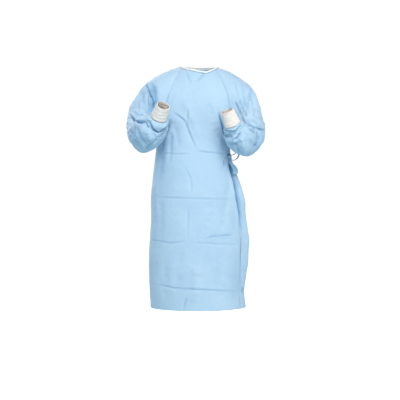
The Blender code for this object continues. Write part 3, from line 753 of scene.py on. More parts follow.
def cloth_object(name, grid, wall, look, closed=False, painted_shade=None):
    """A sheet through a grid of points, thickened inwards, with its cut laid out as UVs.

    Seen from outside, the first row is the lowest and each row runs to the right. Where a fold is
    given painted shade it is marked, and the material darkens the cloth's colour there with it.
    """
    rows, columns = grid.shape[:2]
    index = np.arange(rows * columns).reshape(rows, columns)
    if closed:
        index = np.concatenate([index, index[:, :1]], axis=1)
    corners = (index[:-1, :-1], index[:-1, 1:], index[1:, 1:], index[1:, :-1])
    faces = np.stack(corners, axis=-1).reshape(-1, 4)
    mesh = bpy.data.meshes.new(name)
    mesh.from_pydata(grid.reshape(-1, 3).tolist(), [], faces.tolist())
    looped = np.concatenate([grid, grid[:, :1]], axis=1) if closed else grid
    across = np.linalg.norm(np.diff(looped, axis=1), axis=-1)
    upwards = np.linalg.norm(np.diff(looped, axis=0), axis=-1)
    u = np.concatenate([np.zeros((rows, 1)), np.cumsum(across, axis=1)], axis=1)
    u -= u[:, -1:] / 2
    v = np.concatenate([[0], np.cumsum(np.median(upwards, axis=1))])[:, None] + 0 * u
    flat = np.stack([u, v], axis=-1)
    cells = (flat[:-1, :-1], flat[:-1, 1:], flat[1:, 1:], flat[1:, :-1])
    layer = mesh.uv_layers.new(name="cut")
    layer.data.foreach_set("uv", np.stack(cells, axis=2).reshape(-1))
    if painted_shade is not None:
        mark_painted_shade(mesh, painted_shade)
    mesh.shade_smooth()
    mesh.materials.append(look)
    made = bpy.data.objects.new(name, mesh)
    bpy.context.scene.collection.objects.link(made)
    solid = made.modifiers.new("Wall", "SOLIDIFY")
    solid.thickness = wall
    solid.offset = -1
    solid.use_rim = True
    return made


def on_body(made, *nodes):
    """The piece rides on the gown's one body and stands for its solids."""
    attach(made, "root")
    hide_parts(*nodes)


def body_levels(low, high):
    """Levels of the rows of a body panel from the hem to the neck, for two spacings."""
    drop = BODY[-1].height - BODY[0].height
    hem = -drop + np.array([0.0, 0.0015, 0.003, 0.005])
    below = np.linspace(-drop + 0.008, 0, low)
    above = np.linspace(0, 1, high)[1:]
    return np.concatenate([hem, below, above[:-1], [0.985, 0.993, 1.0]])


def hem_fold(grid):
    """Height of the turned hem's edge above the cloth, by the distance from the hem."""
    distance = grid[..., 2] - grid[:1, :, 2]
    ridge = 0.0007 * (1 - step(0.019, 0.021, distance))
    stitch = -0.0005 * bump(distance - 0.0165, 0.0014)
    return ridge + stitch


def body_height(grid, normals):
    """Creases of the body's cloth, the same on layers that lie on each other, with their painted shade."""
    u, v = front_view(grid)
    front, painted_shade = creased(BODY_FRONT, u, v, -normals[..., 1], BODY_GAIN)
    back, painted_shade_back = creased(BODY_BACK, grid[..., 0], grid[..., 2], normals[..., 1], BODY_GAIN)
    height = front + back + crumple(grid, 11, 0.16, 0.0008) + crumple(grid, 12, 0.055, 0.00035)
    return height, np.maximum(painted_shade, painted_shade_back)


def lowered(grid, normals, height):
    """Grid points moved along their normals."""
    return grid + normals * height[..., None]


def front_panel():
    """Front, from side seam to side seam and between the raglan seams up to the neck."""
    level = body_levels(205, 76)[:, None]
    place = edged(140, 0.012)[None, :]
    level, across = np.broadcast_arrays(level, 2 * place - 1)
    grid = front_point(level, across)
    normals = grid_normals(grid)
    calm, dip = sewn(grid, ("left", "right", "top"))
    height, painted_shade = body_height(grid, normals)
    lying = lowered(grid, normals, height * calm + dip + hem_fold(grid))
    made = cloth_object("front_panel", lying, CLOTH, cloth, painted_shade=painted_shade * calm)
    on_body(made, "front_panel")
    return made, measured_cut(grid)


def free_edge(grid, level, round_back):
    """Height of the wrapped panel's free edge: its turned hem, and how it lies on what is under it."""
    steps = np.linalg.norm(np.diff(grid, axis=1), axis=-1)
    distance = np.concatenate([np.zeros((grid.shape[0], 1)), np.cumsum(steps, axis=1)], axis=1)
    on_front = step(1.02, 1.10, round_back[:, :1])
    below_neck = 1 - step(0.955, 0.995, level[:, :1])
    drop = (wrap_lift(round_back[:, :1]) - FREE_EDGE_LIFT) * below_neck
    reach = FREE_EDGE_REACH + FREE_EDGE_WIDER * (1 - on_front)
    settled = -drop * bump(distance, reach)
    turned = 0.0006 * (1 - step(0.011, 0.013, distance)) - 0.0004 * bump(distance - 0.0095, 0.0012)
    return settled + turned


def back_panel_outer():
    """The wearer's right back panel, wrapped over the back to the left of the front."""
    level = body_levels(205, 76)[:, None]
    place = edged(150, 0.010)[None, :]
    level, place = np.broadcast_arrays(level, place)
    round_back = outer_edge(level) * (1 - place)
    grid = wrap_point(level, round_back)
    normals = grid_normals(grid)
    calm, dip = sewn(grid, ("right", "top"))
    height, painted_shade = body_height(grid, normals)
    height = height * calm + dip + hem_fold(grid)
    lying = lowered(grid, normals, height + free_edge(grid, level, round_back))
    made = cloth_object("back_panel_outer", lying, CLOTH, cloth, painted_shade=painted_shade * calm)
    on_body(made, "back_panel_outer")
    return made, measured_cut(grid)


def back_panel_inner():
    """The wearer's left back panel, under the outer one."""
    level = body_levels(170, 60)[:, None]
    place = edged(84, 0.014)[None, :]
    level, place = np.broadcast_arrays(level, place)
    round_back = 1 + (inner_edge(level) - 1) * place
    grid = back_point(level, round_back)
    normals = grid_normals(grid)
    calm, dip = sewn(grid, ("left", "top"))
    height, painted_shade = body_height(grid, normals)
    lying = lowered(grid, normals, height * calm + dip + hem_fold(grid))
    made = cloth_object("back_panel_inner", lying, CLOTH, cloth, painted_shade=painted_shade * calm)
    on_body(made, "back_panel_inner")
    return made, measured_cut(grid)


def facing_out(side, grid):
    """Rows that run from front to back, put in the order that faces out on their side."""
    return grid if side == "left" else grid[:, ::-1]


def gathers(side, shares, across):
    """Small pleats where the sleeve is drawn in to its cuff, and round its crook."""
    share = np.array(shares)[:, None]
    angle = (across * pi)[None, :]
    seed = 1.3 if side == "left" else 0.4
    pleats = np.sin(angle * 31 + 2.1 * np.sin(angle * 3 + seed) + 9 * share)
    pleats += 0.6 * np.sin(angle * 19 - 1.7 * np.sin(angle * 5 + seed) - 14 * share)
    near = step(0.80, 0.93, share) * (1 - 0.5 * step(0.985, 1.0, share))
    folds = np.sin(angle * 7 + 2.6 * np.sin(angle * 2 + seed) + 22 * share)
    reach = step(0.62, 0.88, share) * (1 - step(0.90, 0.98, share))
    return 0.0010 * pleats * near + 0.0014 * folds * reach


def sleeve(side):
    """Raglan sleeve, a tube below the underarm and open between the seams above it."""
    shares = list(np.concatenate([np.linspace(1, 0.92, 22), np.linspace(0.92, 0, 146)[1:]]))
    even = 2 * edged(176, 0.008) - 1
    across = even - FRONT_DETAIL * (1 - even**2)
    arm = arm_point(side, shares, across)
    cap_share = np.concatenate([np.linspace(0, 1, 64)[1:-1], [0.985, 0.993, 1.0]])[:, None]
    cap = cap_point(side, *np.broadcast_arrays(cap_share, across[None, :]))
    grid = facing_out(side, np.concatenate([arm, cap]))
    normals = grid_normals(grid)
    in_front = SLEEVE_RIGHT_FRONT if side == "right" else SLEEVE_LEFT_FRONT
    u, v = front_view(grid)
    height, painted_shade = creased(in_front, u, v, -normals[..., 1], SLEEVE_GAIN)
    for (at_u, at_v), reach, high in SLEEVE_SWELLS[side]:
        distance = np.hypot(1000 * u - at_u, 1000 * v - at_v)
        height += high / 1000 * bump(distance, reach)
    out_x = grid[..., 0] * SIGN[side]
    out_normal = normals[..., 0] * SIGN[side]
    y = grid[..., 1]
    z = grid[..., 2]
    behind, painted_shade_behind = creased(SLEEVE_BACK, out_x, z, normals[..., 1], BODY_GAIN)
    outside, painted_shade_outside = creased(SLEEVE_SIDE, y, z, out_normal, BODY_GAIN)
    height += behind + outside
    painted_shade = np.maximum(painted_shade, np.maximum(painted_shade_behind, painted_shade_outside))
    lively = np.concatenate([step(0.05, 0.4, shares), np.zeros(len(cap_share))])[:, None]
    height += crumple(grid, 21 + SIGN[side], 0.2, 0.0016) * (0.6 + 0.8 * lively)
    height += crumple(grid, 31 + SIGN[side], 0.07, 0.0002) * (0.5 + 0.3 * lively)
    calm, dip = sewn(grid, ("left", "right", "top", "bottom"))
    tube = np.array([step(0.02, 0.1, share) for share in shares] + [0] * len(cap_share))
    calm = calm + (1 - calm) * tube[:, None]
    dip = dip * (1 - 0.5 * tube[:, None])
    pulls = np.zeros(grid.shape[:2])
    pulls[: len(shares)] = facing_out(side, gathers(side, shares, across))
    lying = lowered(grid, normals, height * calm + dip + pulls)
    name = "sleeve_" + side
    made = cloth_object(name, lying, CLOTH, cloth, painted_shade=painted_shade * calm)
    on_body(made, name)
    return made, measured_cut(grid)


def cuff(side):
    """Ribbed knit cuff, a tapered tube from the sleeve's end to the hand, with a turned edge."""
    (centre, facing, out_axis, back_axis), = arm_frames(side, [1])
    seed = 0.7 if side == "left" else 2.2
    count = CUFF_RIBS * 5
    angle = (np.arange(count) / count * 2 - 1) * pi
    lines = np.concatenate([np.linspace(1, 0.97, 6), np.linspace(0.97, 0, 32)[1:]])
    share = lines[:, None]
    radius = CUFF_BASE_RADIUS + (CUFF_END_RADIUS - CUFF_BASE_RADIUS) * share
    ribs = np.abs(np.cos(angle * CUFF_RIBS / 2))[None, :] - 0.6
    lip = -0.0012 * (step(0.97, 1.0, share)) - 0.0010 * (1 - step(0, 0.05, share))
    soft = 0.0007 * np.sin(2 * angle[None, :] + seed + 3 * share)
    soft = soft + 0.0006 * np.sin(share * 26 + 2 * np.sin(angle[None, :] + seed))
    ripple = 0.0004 * np.sin(share * 60 + 3 * np.sin(2 * angle[None, :] + seed))
    radius = radius + 0.00055 * ribs + lip + soft + ripple
    sway = CUFF_LENGTH * share + 0.0012 * np.sin(2 * angle[None, :] + seed) * share
    axis_x = np.array(out_axis)
    axis_y = np.array(back_axis)
    middle = np.array(centre) + np.array(facing) * (LIE_GAP + sway[..., None])
    ring = axis_x * np.cos(angle)[:, None] + axis_y * np.sin(angle)[:, None]
    grid = (middle + ring[None] * radius[..., None]) * np.array([SIGN[side], 1, 1])
    grid = facing_out(side, grid)
    name = "cuff_" + side
    made = cloth_object(name, grid, KNIT, knit, closed=True)
    on_body(made, name)
    return made, measured_cut(np.concatenate([grid, grid[:, :1]], axis=1))


def neck_path(dense):
    """Points of the neck seam and the way on past each, from one back end to the other."""
    surfaces = [
        (wrap_point, spread(float(outer_edge(np.array(1.0))), 0, 8 * dense)),
        (lambda level, a: cap_point("right", level, a), spread(1, -1, 6 * dense)),
        (front_point, spread(-1, 1, 16 * dense)),
        (lambda level, a: cap_point("left", level, a), spread(-1, 1, 6 * dense)),
        (back_point, spread(1, float(inner_edge(np.array(1.0))), 8 * dense)),
    ]
    path = []
    ways = []
    for surface, places in surfaces:
        here = surface(np.full(len(places), 1.0), places)
        before = surface(np.full(len(places), 1.0 - NECK_REACH), places)
        onward = unit(here - before)
        for point, way in zip(here, onward):
            if path and np.linalg.norm(point - path[-1]) < 0.0012:
                continue
            path.append(point)
            ways.append(way)
    return np.array(path), smoothed(np.array(ways), 3)


def smoothed(rows, times):
    """Rows of values with small steps between neighbours evened out."""
    for _ in range(times):
        rows[1:-1] = (rows[:-2] + 2 * rows[1:-1] + rows[2:]) / 4
    return rows


def neck_binding():
    """Folded binding strip over the raw neck edge, with its line of stitches."""
    path, onward = neck_path(5)
    share = np.array([-0.18, -0.16, -0.08, 0.05, 0.2, 0.35, 0.5, 0.65, 0.8, 0.92, 1.0])
    reach = LIE_GAP + 0.68 * BINDING_WIDTH * share
    grid = path[None] + onward[None] * reach[:, None, None]
    normals = grid_normals(grid)
    crown = 0.0013 * np.sqrt(np.clip(1 - (2 * (share + 0.18) / 1.18 - 1) ** 2, 0, 1))
    run = np.arange(len(path))
    stitch = -0.0003 * bump(share[:, None] - 0.05, 0.05) * (run % 4 != 0)[None, :]
    pucker = 0.0003 * np.sin(run * 0.9)[None, :] * bump(share[:, None] - 0.2, 0.3)
    tip = -0.0008 * step(0.85, 1.0, share)
    height = crown[:, None] + stitch + pucker + tip[:, None] + 0.0004
    grid = lowered(grid, normals, height)
    made = cloth_object("neck_binding", grid, BINDING, binding)
    on_body(made, "neck_binding")
    return made, measured_cut(grid)


def front_place(x, height):
    """Level and place across of points on the wearer's left of the front."""
    right_x = value(BODY, "right", height)
    left_x = value(BODY, "left", height)
    middle_x = (right_x + left_x) / 2
    return height - BODY[-1].height, np.arcsin((x - middle_x) / (left_x - middle_x)) / (pi / 2)


def off_body(surface, level, place, distance):
    """Points off a body panel as it is creased, by distances above its cloth."""
    grid = surface(level, place)
    normals = surface_normals(surface, level, place)
    creases, _ = body_height(grid, normals)
    height = creases + distance
    return grid + normals * height[..., None]


def knot_place():
    """Middle of the belt's knot."""
    level, across = front_place(np.array(KNOT_X), np.array(KNOT_HEIGHT))
    here = front_point(level, across)
    normal = surface_normals(front_point, level, across)
    return here + normal * (KNOT_HALF.x + BELT_GAP)


def strap_profile(share):
    """Height of a folded strap above its own middle: thick edges and a soft line between."""
    return 0.0004 * np.abs(2 * share - 1) ** 3 - 0.0003 * bump(share - 0.5, 0.12)


def belt_front(knot):
    """Belt end on the front, from its sewn tack to the knot."""
    share = spread(0, 1, 12)[:, None]
    along = spread(0, 1, 40)[None, :]
    x = FRONT_STRAP[0].x + (FRONT_STRAP[-1].x - FRONT_STRAP[0].x) * along
    bottom = value(FRONT_STRAP, "bottom", x)
    height = bottom + (value(FRONT_STRAP, "top", x) - bottom) * share
    distance = BELT_GAP + BELT + value(FRONT_STRAP, "off", x)
    gather = 0.0006 * np.sin(share * 19) * step(0.45, 1, along)
    tack = -0.0006 * bump(along - 0.10, 0.03) * (np.sin(share * 34) > -0.4)
    distance = distance + strap_profile(share) + gather + tack
    x, height, distance = np.broadcast_arrays(x, height, distance)
    level, across = front_place(x, height)
    grid = off_body(front_point, level, across, distance)
    pull = step(0.7, 1.0, along)[..., None] * 0.75
    target = knot + np.array([-0.004, 0.0005, -0.005])
    grid = grid + (target + points(0 * share, 0 * share, (share - 0.5) * 0.008) - grid) * pull
    # Painted shade in a band across the strap near its tacked end.
    tack_shade = 0.85 * bump(along - 0.09, 0.10) + 0 * share
    made = cloth_object("belt_front", grid, BELT, cloth, painted_shade=tack_shade)
    on_body(made, "belt_front")
    return made, measured_cut(grid)


def belt_flap(knot):
    """Belt end on the wrapped panel, with its free stretch from the panel's edge to the knot."""
    share = spread(0, 1, 12)[:, None]
    level = KNOT_HEIGHT - BODY[-1].height + STRAP_WIDTH * (share - 0.5)
    edge = outer_edge(level)
    along = spread(0, 1, 60)[None, :]
    place = edge - STRAP_MARGIN - (STRAP_REACH - STRAP_MARGIN) * along
    level = np.broadcast_to(level, place.shape)
    tack = -0.0006 * bump(along - 0.93, 0.012) * (np.sin(share * 34) > -0.4)
    distance = BELT_GAP + BELT + strap_profile(share) + tack
    on_panel = off_body(wrap_point, level, place, distance)
    start = knot + np.array(FLAP_STRAP_START) * 0.75
    narrow = start + points(0 * share, 0 * share, FLAP_STRAP_END_WIDTH * (share - 0.5))
    q = spread(0, 1, 14)[None, :-1, None]
    sag = np.array([0.001, -0.001, -0.001]) * np.sin(q * pi)
    free = narrow + (on_panel[:, :1] - narrow) * q + sag
    grid = np.concatenate([free, on_panel], axis=1)
    made = cloth_object("belt_flap", grid, BELT, cloth)
    on_body(made, "belt_flap")
    return made, measured_cut(grid)


def belt_strip(name, table, knot, seed, twist, shade):
    """Free strip of the belt, through the rows of a table round the knot's middle."""
    rows = [StripPoint(k, *row) for k, row in enumerate(table)]
    place = np.linspace(0, len(rows) - 1, 12 * (len(rows) - 1) + 1)[:, None]
    share = spread(-1, 1, 10)[None, :]
    angle = np.radians(value(rows, "angle", place) + twist * np.sin(place * 0.8 + seed))
    half = value(rows, "half", place) * share
    centre = points(*[value(rows, part, place) for part in ("dx", "dy", "dz")]) + knot
    way = points(np.cos(angle), np.sin(angle), 0 * angle)
    grid = centre + way * half[..., None]
    normals = grid_normals(grid)
    curl = 0.0010 * np.sin(place * 1.1 + seed) * share**2
    crinkle = 0.0005 * np.sin(place * 3.1 + 4 * share + seed)
    grid = lowered(grid, normals, curl + crinkle + strap_profile((share + 1) / 2))
    # Painted shade along the strip, as strong as its shade, with a slight wave in it.
    painted_shade = shade * (1 + 0.25 * np.sin(place * 2.3 + 3 * share + seed))
    made = cloth_object(name, grid, BELT, cloth, painted_shade=painted_shade)
    on_body(made, name)
    return made, measured_cut(grid)


StripPoint = namedtuple("StripPoint", "place dx dy dz half angle")


def belt_knot(knot):
    """Knot of the two belt ends: wraps of the strap drawn tight round each other."""
    turn = np.linspace(-pi, pi, 61)[None, :-1]
    rise = np.linspace(-pi / 2, pi / 2, 42)[:, None]
    wraps = np.abs(np.sin(1.5 * turn + 3.2 * rise)) ** 0.6
    cross = np.abs(np.sin(2.0 * turn - 2.4 * rise + 0.8)) ** 0.7
    size = 0.80 + 0.16 * wraps + 0.08 * cross
    x = KNOT_HALF.x * size * np.cos(rise) * np.cos(turn)
    y = KNOT_HALF.y * size * np.cos(rise) * np.sin(turn)
    z = KNOT_HALF.z * (0.92 + 0.08 * wraps) * np.sin(rise)
    grid = points(x, y, z) + knot
    rows, columns = grid.shape[:2]
    index = np.arange(rows * columns).reshape(rows, columns)
    index = np.concatenate([index, index[:, :1]], axis=1)
    corners = (index[:-1, :-1], index[:-1, 1:], index[1:, 1:], index[1:, :-1])
    faces = np.stack(corners, axis=-1).reshape(-1, 4)
    mesh = bpy.data.meshes.new("belt_knot")
    mesh.from_pydata(grid.reshape(-1, 3).tolist(), [], faces.tolist())
    shape = bmesh.new()
    shape.from_mesh(mesh)
    bmesh.ops.remove_doubles(shape, verts=shape.verts, dist=0.00002)
    shape.to_mesh(mesh)
    shape.free()
    mesh.shade_smooth()
    heights = np.array([corner.co.z - knot[..., 2].item() for corner in mesh.vertices])
    # Painted shade: the upper part of the knot is darkened towards the deep painted shade colour.
    mark_painted_shade(mesh, 1.8 * step(-0.2, 0.5, heights / KNOT_HALF.z))
    mesh.materials.append(cloth)
    made = bpy.data.objects.new("belt_knot", mesh)
    bpy.context.scene.collection.objects.link(made)
    on_body(made, "belt_knot")


class Look:
    """A material's nodes, with short calls to add and join them."""

    def __init__(self, name):
        self.made = bpy.data.materials.new(name)
        self.made.use_nodes = True
        self.tree = self.made.node_tree
        self.shader = self.tree.nodes["Principled BSDF"]

    def node(self, kind, **inputs):
        """A node of a kind, with values or other nodes' outputs on its inputs."""
        made = self.tree.nodes.new(kind)
        for name, given in inputs.items():
            self.put(made.inputs[name.replace("_", " ")], given)
        return made

    def put(self, socket, given):
        """A value, or another node's output, on a socket."""
        if isinstance(given, bpy.types.NodeSocket):
            self.tree.links.new(given, socket)
        else:
            socket.default_value = given

    def math(self, operation, first, second=0.0):
        """Result of a calculation on two numbers."""
        made = self.tree.nodes.new("ShaderNodeMath")
        made.operation = operation
        self.put(made.inputs[0], first)
        self.put(made.inputs[1], second)
        return made.outputs[0]

    def ranged(self, source, low, high, to_low, to_high):
        """A number carried over from one range to another, kept inside it."""
        names = ("Value", "From_Min", "From_Max", "To_Min", "To_Max")
        given = dict(zip(names, (source, low, high, to_low, to_high)))
        return self.node("ShaderNodeMapRange", **given).outputs["Result"]

    def mixed(self, share, first, second):
        """A colour between two."""
        made = self.tree.nodes.new("ShaderNodeMix")
        made.data_type = "RGBA"
        self.put(made.inputs[0], share)
        self.put(made.inputs[6], first)
        self.put(made.inputs[7], second)
        return made.outputs[2]

    def noise(self, where, scale, detail=2.0, roughness=0.5):
        """Soft noise at places."""
        made = self.node("ShaderNodeTexNoise", Vector=where, Scale=scale, Detail=detail)
        made.inputs["Roughness"].default_value = roughness
        return made.outputs["Fac"]

    def raised(self, height, distance, below=None):
        """A bump of a height, on top of the bumps below it."""
        made = self.node("ShaderNodeBump", Height=height, Distance=distance)
        if below is not None:
            self.put(made.inputs["Normal"], below)
        return made.outputs["Normal"]


def nonwoven(name, light, deep):
    """Bonded nonwoven cloth: rows of small bond points, loose fibres and soft handling marks, darkened with
    painted shade in its folds.
    """
    look = Look(name)
    cut = look.node("ShaderNodeUVMap")
    cut.uv_map = "cut"
    flat = cut.outputs["UV"]
    place = look.node("ShaderNodeTexCoord").outputs["Object"]
    cells = look.node("ShaderNodeTexVoronoi", Vector=flat, Scale=560.0, Randomness=0.06)
    bonds = look.ranged(cells.outputs["Distance"], 0.18, 0.34, 0.0, 1.0)
    fibres = look.noise(flat, 1500.0, 4.0, 0.7)
    clouds = look.noise(place, 7.0, 4.0, 0.6)
    patches = look.noise(flat, 55.0, 5.0, 0.65)
    tone = look.math("ADD", look.math("MULTIPLY", clouds, 0.65), look.math("MULTIPLY", patches, 0.35))
    tone = look.ranged(tone, 0.36, 0.64, 0.0, 1.0)
    color = look.mixed(tone, light, deep)
    dotted = look.math("MULTIPLY", look.math("SUBTRACT", 1.0, bonds), 0.10)
    fuzz = look.math("MULTIPLY", look.ranged(fibres, 0.3, 0.7, 0.0, 1.0), 0.06)
    bonded = tuple(part * 0.8 for part in deep[:3]) + (1.0,)
    color = look.mixed(look.math("ADD", dotted, fuzz), color, bonded)
    # Painted shade: the cloth darkens towards the fold shade colour as the marks rise to 1, and towards the
    # deep one from 1 to 2.
    marks = look.node("ShaderNodeAttribute")
    marks.attribute_name = "painted_shade"
    shade_share = look.ranged(marks.outputs["Fac"], 0.0, 1.0, 0.0, 0.9)
    deep_shade_share = look.ranged(marks.outputs["Fac"], 1.0, 2.0, 0.0, 0.9)
    color = look.mixed(deep_shade_share, look.mixed(shade_share, color, PAINTED_FOLD_SHADE), PAINTED_DEEP_FOLD_SHADE)
    look.put(look.shader.inputs["Base Color"], color)
    rub = look.node("ShaderNodeTexVoronoi", Vector=handled(look, place, 0.05), Scale=24.0)
    rub.feature = "DISTANCE_TO_EDGE"
    line = look.ranged(rub.outputs["Distance"], 0.0, 0.05, 0.0, 1.0)
    normal = look.raised(line, 0.00022)
    normal = look.raised(look.noise(place, 38.0, 3.0, 0.5), 0.0011, normal)
    normal = look.raised(look.noise(flat, 240.0, 3.0, 0.6), 0.00012, normal)
    normal = look.raised(bonds, 0.00008, normal)
    normal = look.raised(fibres, 0.00004, normal)
    look.put(look.shader.inputs["Normal"], normal)
    look.shader.inputs["Roughness"].default_value = 0.74
    look.shader.inputs["Specular IOR Level"].default_value = 0.28
    look.shader.inputs["Sheen Weight"].default_value = 0.30
    look.shader.inputs["Sheen Roughness"].default_value = 0.45
    look.shader.inputs["Sheen Tint"].default_value = (0.92, 0.95, 1.0, 1)
    return look.made


def handled(look, place, amount):
    """Places pushed about by soft noise, so that lines laid on them wander."""
    push = look.node("ShaderNodeTexNoise", Vector=place, Scale=9.0, Detail=2.0)
    scaled = look.tree.nodes.new("ShaderNodeVectorMath")
    scaled.operation = "SCALE"
    look.put(scaled.inputs[0], push.outputs["Color"])
    scaled.inputs["Scale"].default_value = amount
    moved = look.tree.nodes.new("ShaderNodeVectorMath")
    moved.operation = "ADD"
    look.put(moved.inputs[0], place)
    look.put(moved.inputs[1], scaled.outputs[0])
    return moved.outputs[0]


def rib_knit(name):
    """Warm white knit: small loops in columns along the ribs."""
    look = Look(name)
    cut = look.node("ShaderNodeUVMap")
    cut.uv_map = "cut"
    flat = cut.outputs["UV"]
    parts = look.node("ShaderNodeSeparateXYZ", Vector=flat)
    column = look.math("MULTIPLY", parts.outputs["X"], 2 * pi / 0.0014)
    row = look.math("MULTIPLY", parts.outputs["Y"], 2 * pi / 0.0012)
    lean = look.math("ABSOLUTE", look.math("SINE", look.math("MULTIPLY", column, 0.5)))
    wave = look.math("SINE", look.math("ADD", row, look.math("MULTIPLY", lean, 2.6)))
    loops = look.math("ADD", look.math("MULTIPLY", wave, 0.5), look.math("MULTIPLY", lean, 0.6))
    place = look.node("ShaderNodeTexCoord").outputs["Object"]
    clouds = look.ranged(look.noise(place, 30.0, 3.0), 0.35, 0.65, 0.0, 1.0)
    shade = look.mixed(clouds, (0.95, 0.845, 0.765, 1), (0.89, 0.79, 0.715, 1))
    # Painted shade in the hollows between the knit's loops: the colour darkens where the loops sink.
    depth = look.ranged(loops, -0.4, 0.8, 0.16, 0.0)
    shade = look.mixed(depth, shade, (0.60, 0.55, 0.50, 1))
    look.put(look.shader.inputs["Base Color"], shade)
    normal = look.raised(loops, 0.00022)
    normal = look.raised(look.noise(flat, 1800.0, 3.0, 0.7), 0.00010, normal)
    look.put(look.shader.inputs["Normal"], normal)
    look.shader.inputs["Roughness"].default_value = 0.9
    look.shader.inputs["Specular IOR Level"].default_value = 0.2
    look.shader.inputs["Sheen Weight"].default_value = 0.4
    look.shader.inputs["Sheen Roughness"].default_value = 0.6
    return look.made


def bound_edge(name):
    """White binding: a fine plain weave with a line of darker stitch holes."""
    look = Look(name)
    cut = look.node("ShaderNodeUVMap")
    cut.uv_map = "cut"
    flat = cut.outputs["UV"]
    parts = look.node("ShaderNodeSeparateXYZ", Vector=flat)
    warp = look.math("SINE", look.math("MULTIPLY", parts.outputs["X"], 2 * pi / 0.0006))
    weft = look.math("SINE", look.math("MULTIPLY", parts.outputs["Y"], 2 * pi / 0.0006))
    weave = look.math("MULTIPLY", warp, weft)
    clouds = look.ranged(look.noise(flat, 90.0, 3.0), 0.35, 0.65, 0.0, 1.0)
    color = look.mixed(clouds, (0.90, 0.885, 0.85, 1), (0.84, 0.825, 0.79, 1))
    stitch_place = look.math("SINE", look.math("MULTIPLY", parts.outputs["X"], 2 * pi / 0.0032))
    from_line = look.math("ABSOLUTE", look.math("SUBTRACT", parts.outputs["Y"], 0.0024))
    stitch_line = look.ranged(from_line, 0.0002, 0.0005, 1.0, 0.0)
    stitch = look.math("MULTIPLY", stitch_line, look.ranged(stitch_place, 0.2, 0.6, 0.0, 0.45))
    color = look.mixed(stitch, color, (0.60, 0.60, 0.60, 1))
    look.put(look.shader.inputs["Base Color"], color)
    normal = look.raised(weave, 0.00005)
    normal = look.raised(look.noise(flat, 150.0, 2.0), 0.0003, normal)
    look.put(look.shader.inputs["Normal"], normal)
    look.shader.inputs["Roughness"].default_value = 0.8
    look.shader.inputs["Sheen Weight"].default_value = 0.2
    return look.made


def pale_floor():
    """Wide pale floor under the hanging gown."""
    bpy.ops.mesh.primitive_circle_add(vertices=96, radius=60, fill_type="NGON", location=(0, 0, FLOOR_HEIGHT))
    floor = bpy.context.object
    floor.name = "floor"
    look = Look("floor_pale")
    place = look.node("ShaderNodeTexCoord").outputs["Object"]
    tone = look.noise(place, 3.0, 2.0)
    color = look.mixed(tone, (0.93, 0.93, 0.93, 1), (0.95, 0.95, 0.95, 1))
    look.put(look.shader.inputs["Base Color"], color)
    look.shader.inputs["Roughness"].default_value = 0.95
    look.shader.inputs["Specular IOR Level"].default_value = 0.0
    look.shader.inputs["Emission Color"].default_value = (1, 1, 1, 1)
    look.shader.inputs["Emission Strength"].default_value = 0.75
    floor.data.materials.append(look.made)
    floor.visible_diffuse = False
    floor.visible_glossy = False


def area_light(name, place, target, size, power, color):
    """Soft square light aimed at a point."""
    light = bpy.data.lights.new(name, "AREA")
    light.shape = "SQUARE"
    light.size = size
    light.energy = power
    light.color = color
    made = bpy.data.objects.new(name, light)
    made.location = place
    made.rotation_euler = (Vector(target) - Vector(place)).to_track_quat("-Z", "Y").to_euler()
    bpy.context.scene.collection.objects.link(made)


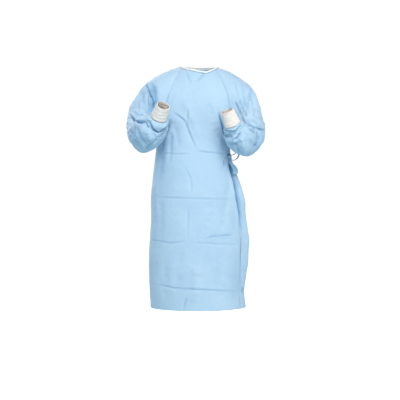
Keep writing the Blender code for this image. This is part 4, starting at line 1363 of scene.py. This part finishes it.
def studio():
    """Soft light from the front and the right, on a white surround."""
    middle = (0, 0, -0.5)
    area_light("key_light", (0.45, -4.1, 1.9), middle, 1.8, 149, (1.0, 0.97, 0.94))
    area_light("fill_light", (-2.6, -2.6, 0.2), middle, 2.0, 6, (0.80, 0.90, 1.0))
    area_light("low_light", (2.4, -2.2, -1.3), middle, 1.6, 18, (1.0, 0.97, 0.92))
    area_light("back_light", (-1.9, 2.9, 1.9), middle, 1.6, 95, (1.0, 0.98, 0.96))
    world = bpy.data.worlds.new("white_surround")
    world.use_nodes = True
    nodes = world.node_tree.nodes
    links = world.node_tree.links
    way = nodes.new("ShaderNodeTexCoord")
    parts = nodes.new("ShaderNodeSeparateXYZ")
    height = nodes.new("ShaderNodeMapRange")
    height.inputs["From Min"].default_value = -0.7
    height.inputs["From Max"].default_value = 0.8
    blend = nodes.new("ShaderNodeMix")
    blend.data_type = "RGBA"
    blend.inputs[6].default_value = (0.47, 0.68, 0.80, 1)
    blend.inputs[7].default_value = (0.42, 0.46, 0.50, 1)
    links.new(way.outputs["Generated"], parts.inputs[0])
    links.new(parts.outputs["Z"], height.inputs["Value"])
    links.new(height.outputs["Result"], blend.inputs[0])
    links.new(blend.outputs[2], nodes["Background"].inputs["Color"])
    seen = nodes.new("ShaderNodeBackground")
    seen.inputs["Strength"].default_value = 1.05
    seen.inputs["Color"].default_value = (1, 1, 1, 1)
    ray = nodes.new("ShaderNodeLightPath")
    mix = nodes.new("ShaderNodeMixShader")
    links.new(ray.outputs["Is Camera Ray"], mix.inputs["Fac"])
    links.new(nodes["Background"].outputs["Background"], mix.inputs[1])
    links.new(seen.outputs["Background"], mix.inputs[2])
    links.new(mix.outputs["Shader"], nodes["World Output"].inputs["Surface"])
    bpy.context.scene.world = world
    bpy.context.scene.view_settings.view_transform = "Standard"


def camera():
    """Level camera in front of the wearer, with the whole figure's frame."""
    lens = bpy.data.cameras.new("camera")
    lens.lens = CAMERA_LENS
    lens.sensor_width = 36
    made = bpy.data.objects.new("camera", lens)
    made.location = CAMERA_PLACE
    made.rotation_euler = (pi / 2, 0, 0)
    bpy.context.scene.collection.objects.link(made)
    bpy.context.scene.camera = made


camera()
cloth = nonwoven("nonwoven_blue", (0.478, 0.638, 0.770, 1), (0.418, 0.585, 0.735, 1))
knit = rib_knit("rib_knit_white")
binding = bound_edge("binding_white")

front, front_area = front_panel()
outer, outer_area = back_panel_outer()
inner, inner_area = back_panel_inner()
for name in SIGN:
    sleeve(name)
for name in SIGN:
    cuff(name)
neck, neck_area = neck_binding()
knot_middle = knot_place()
tack_strap, tack_area = belt_front(knot_middle)
flap_strap, flap_area = belt_flap(knot_middle)
belt_knot(knot_middle)
loop, loop_area = belt_strip("belt_loop", BOW_LOOP, knot_middle, 0.5, 24, 0.95)
tail, tail_area = belt_strip("belt_tail", BELT_TAIL, knot_middle, 1.9, 0, 0.3)

pale_floor()
studio()
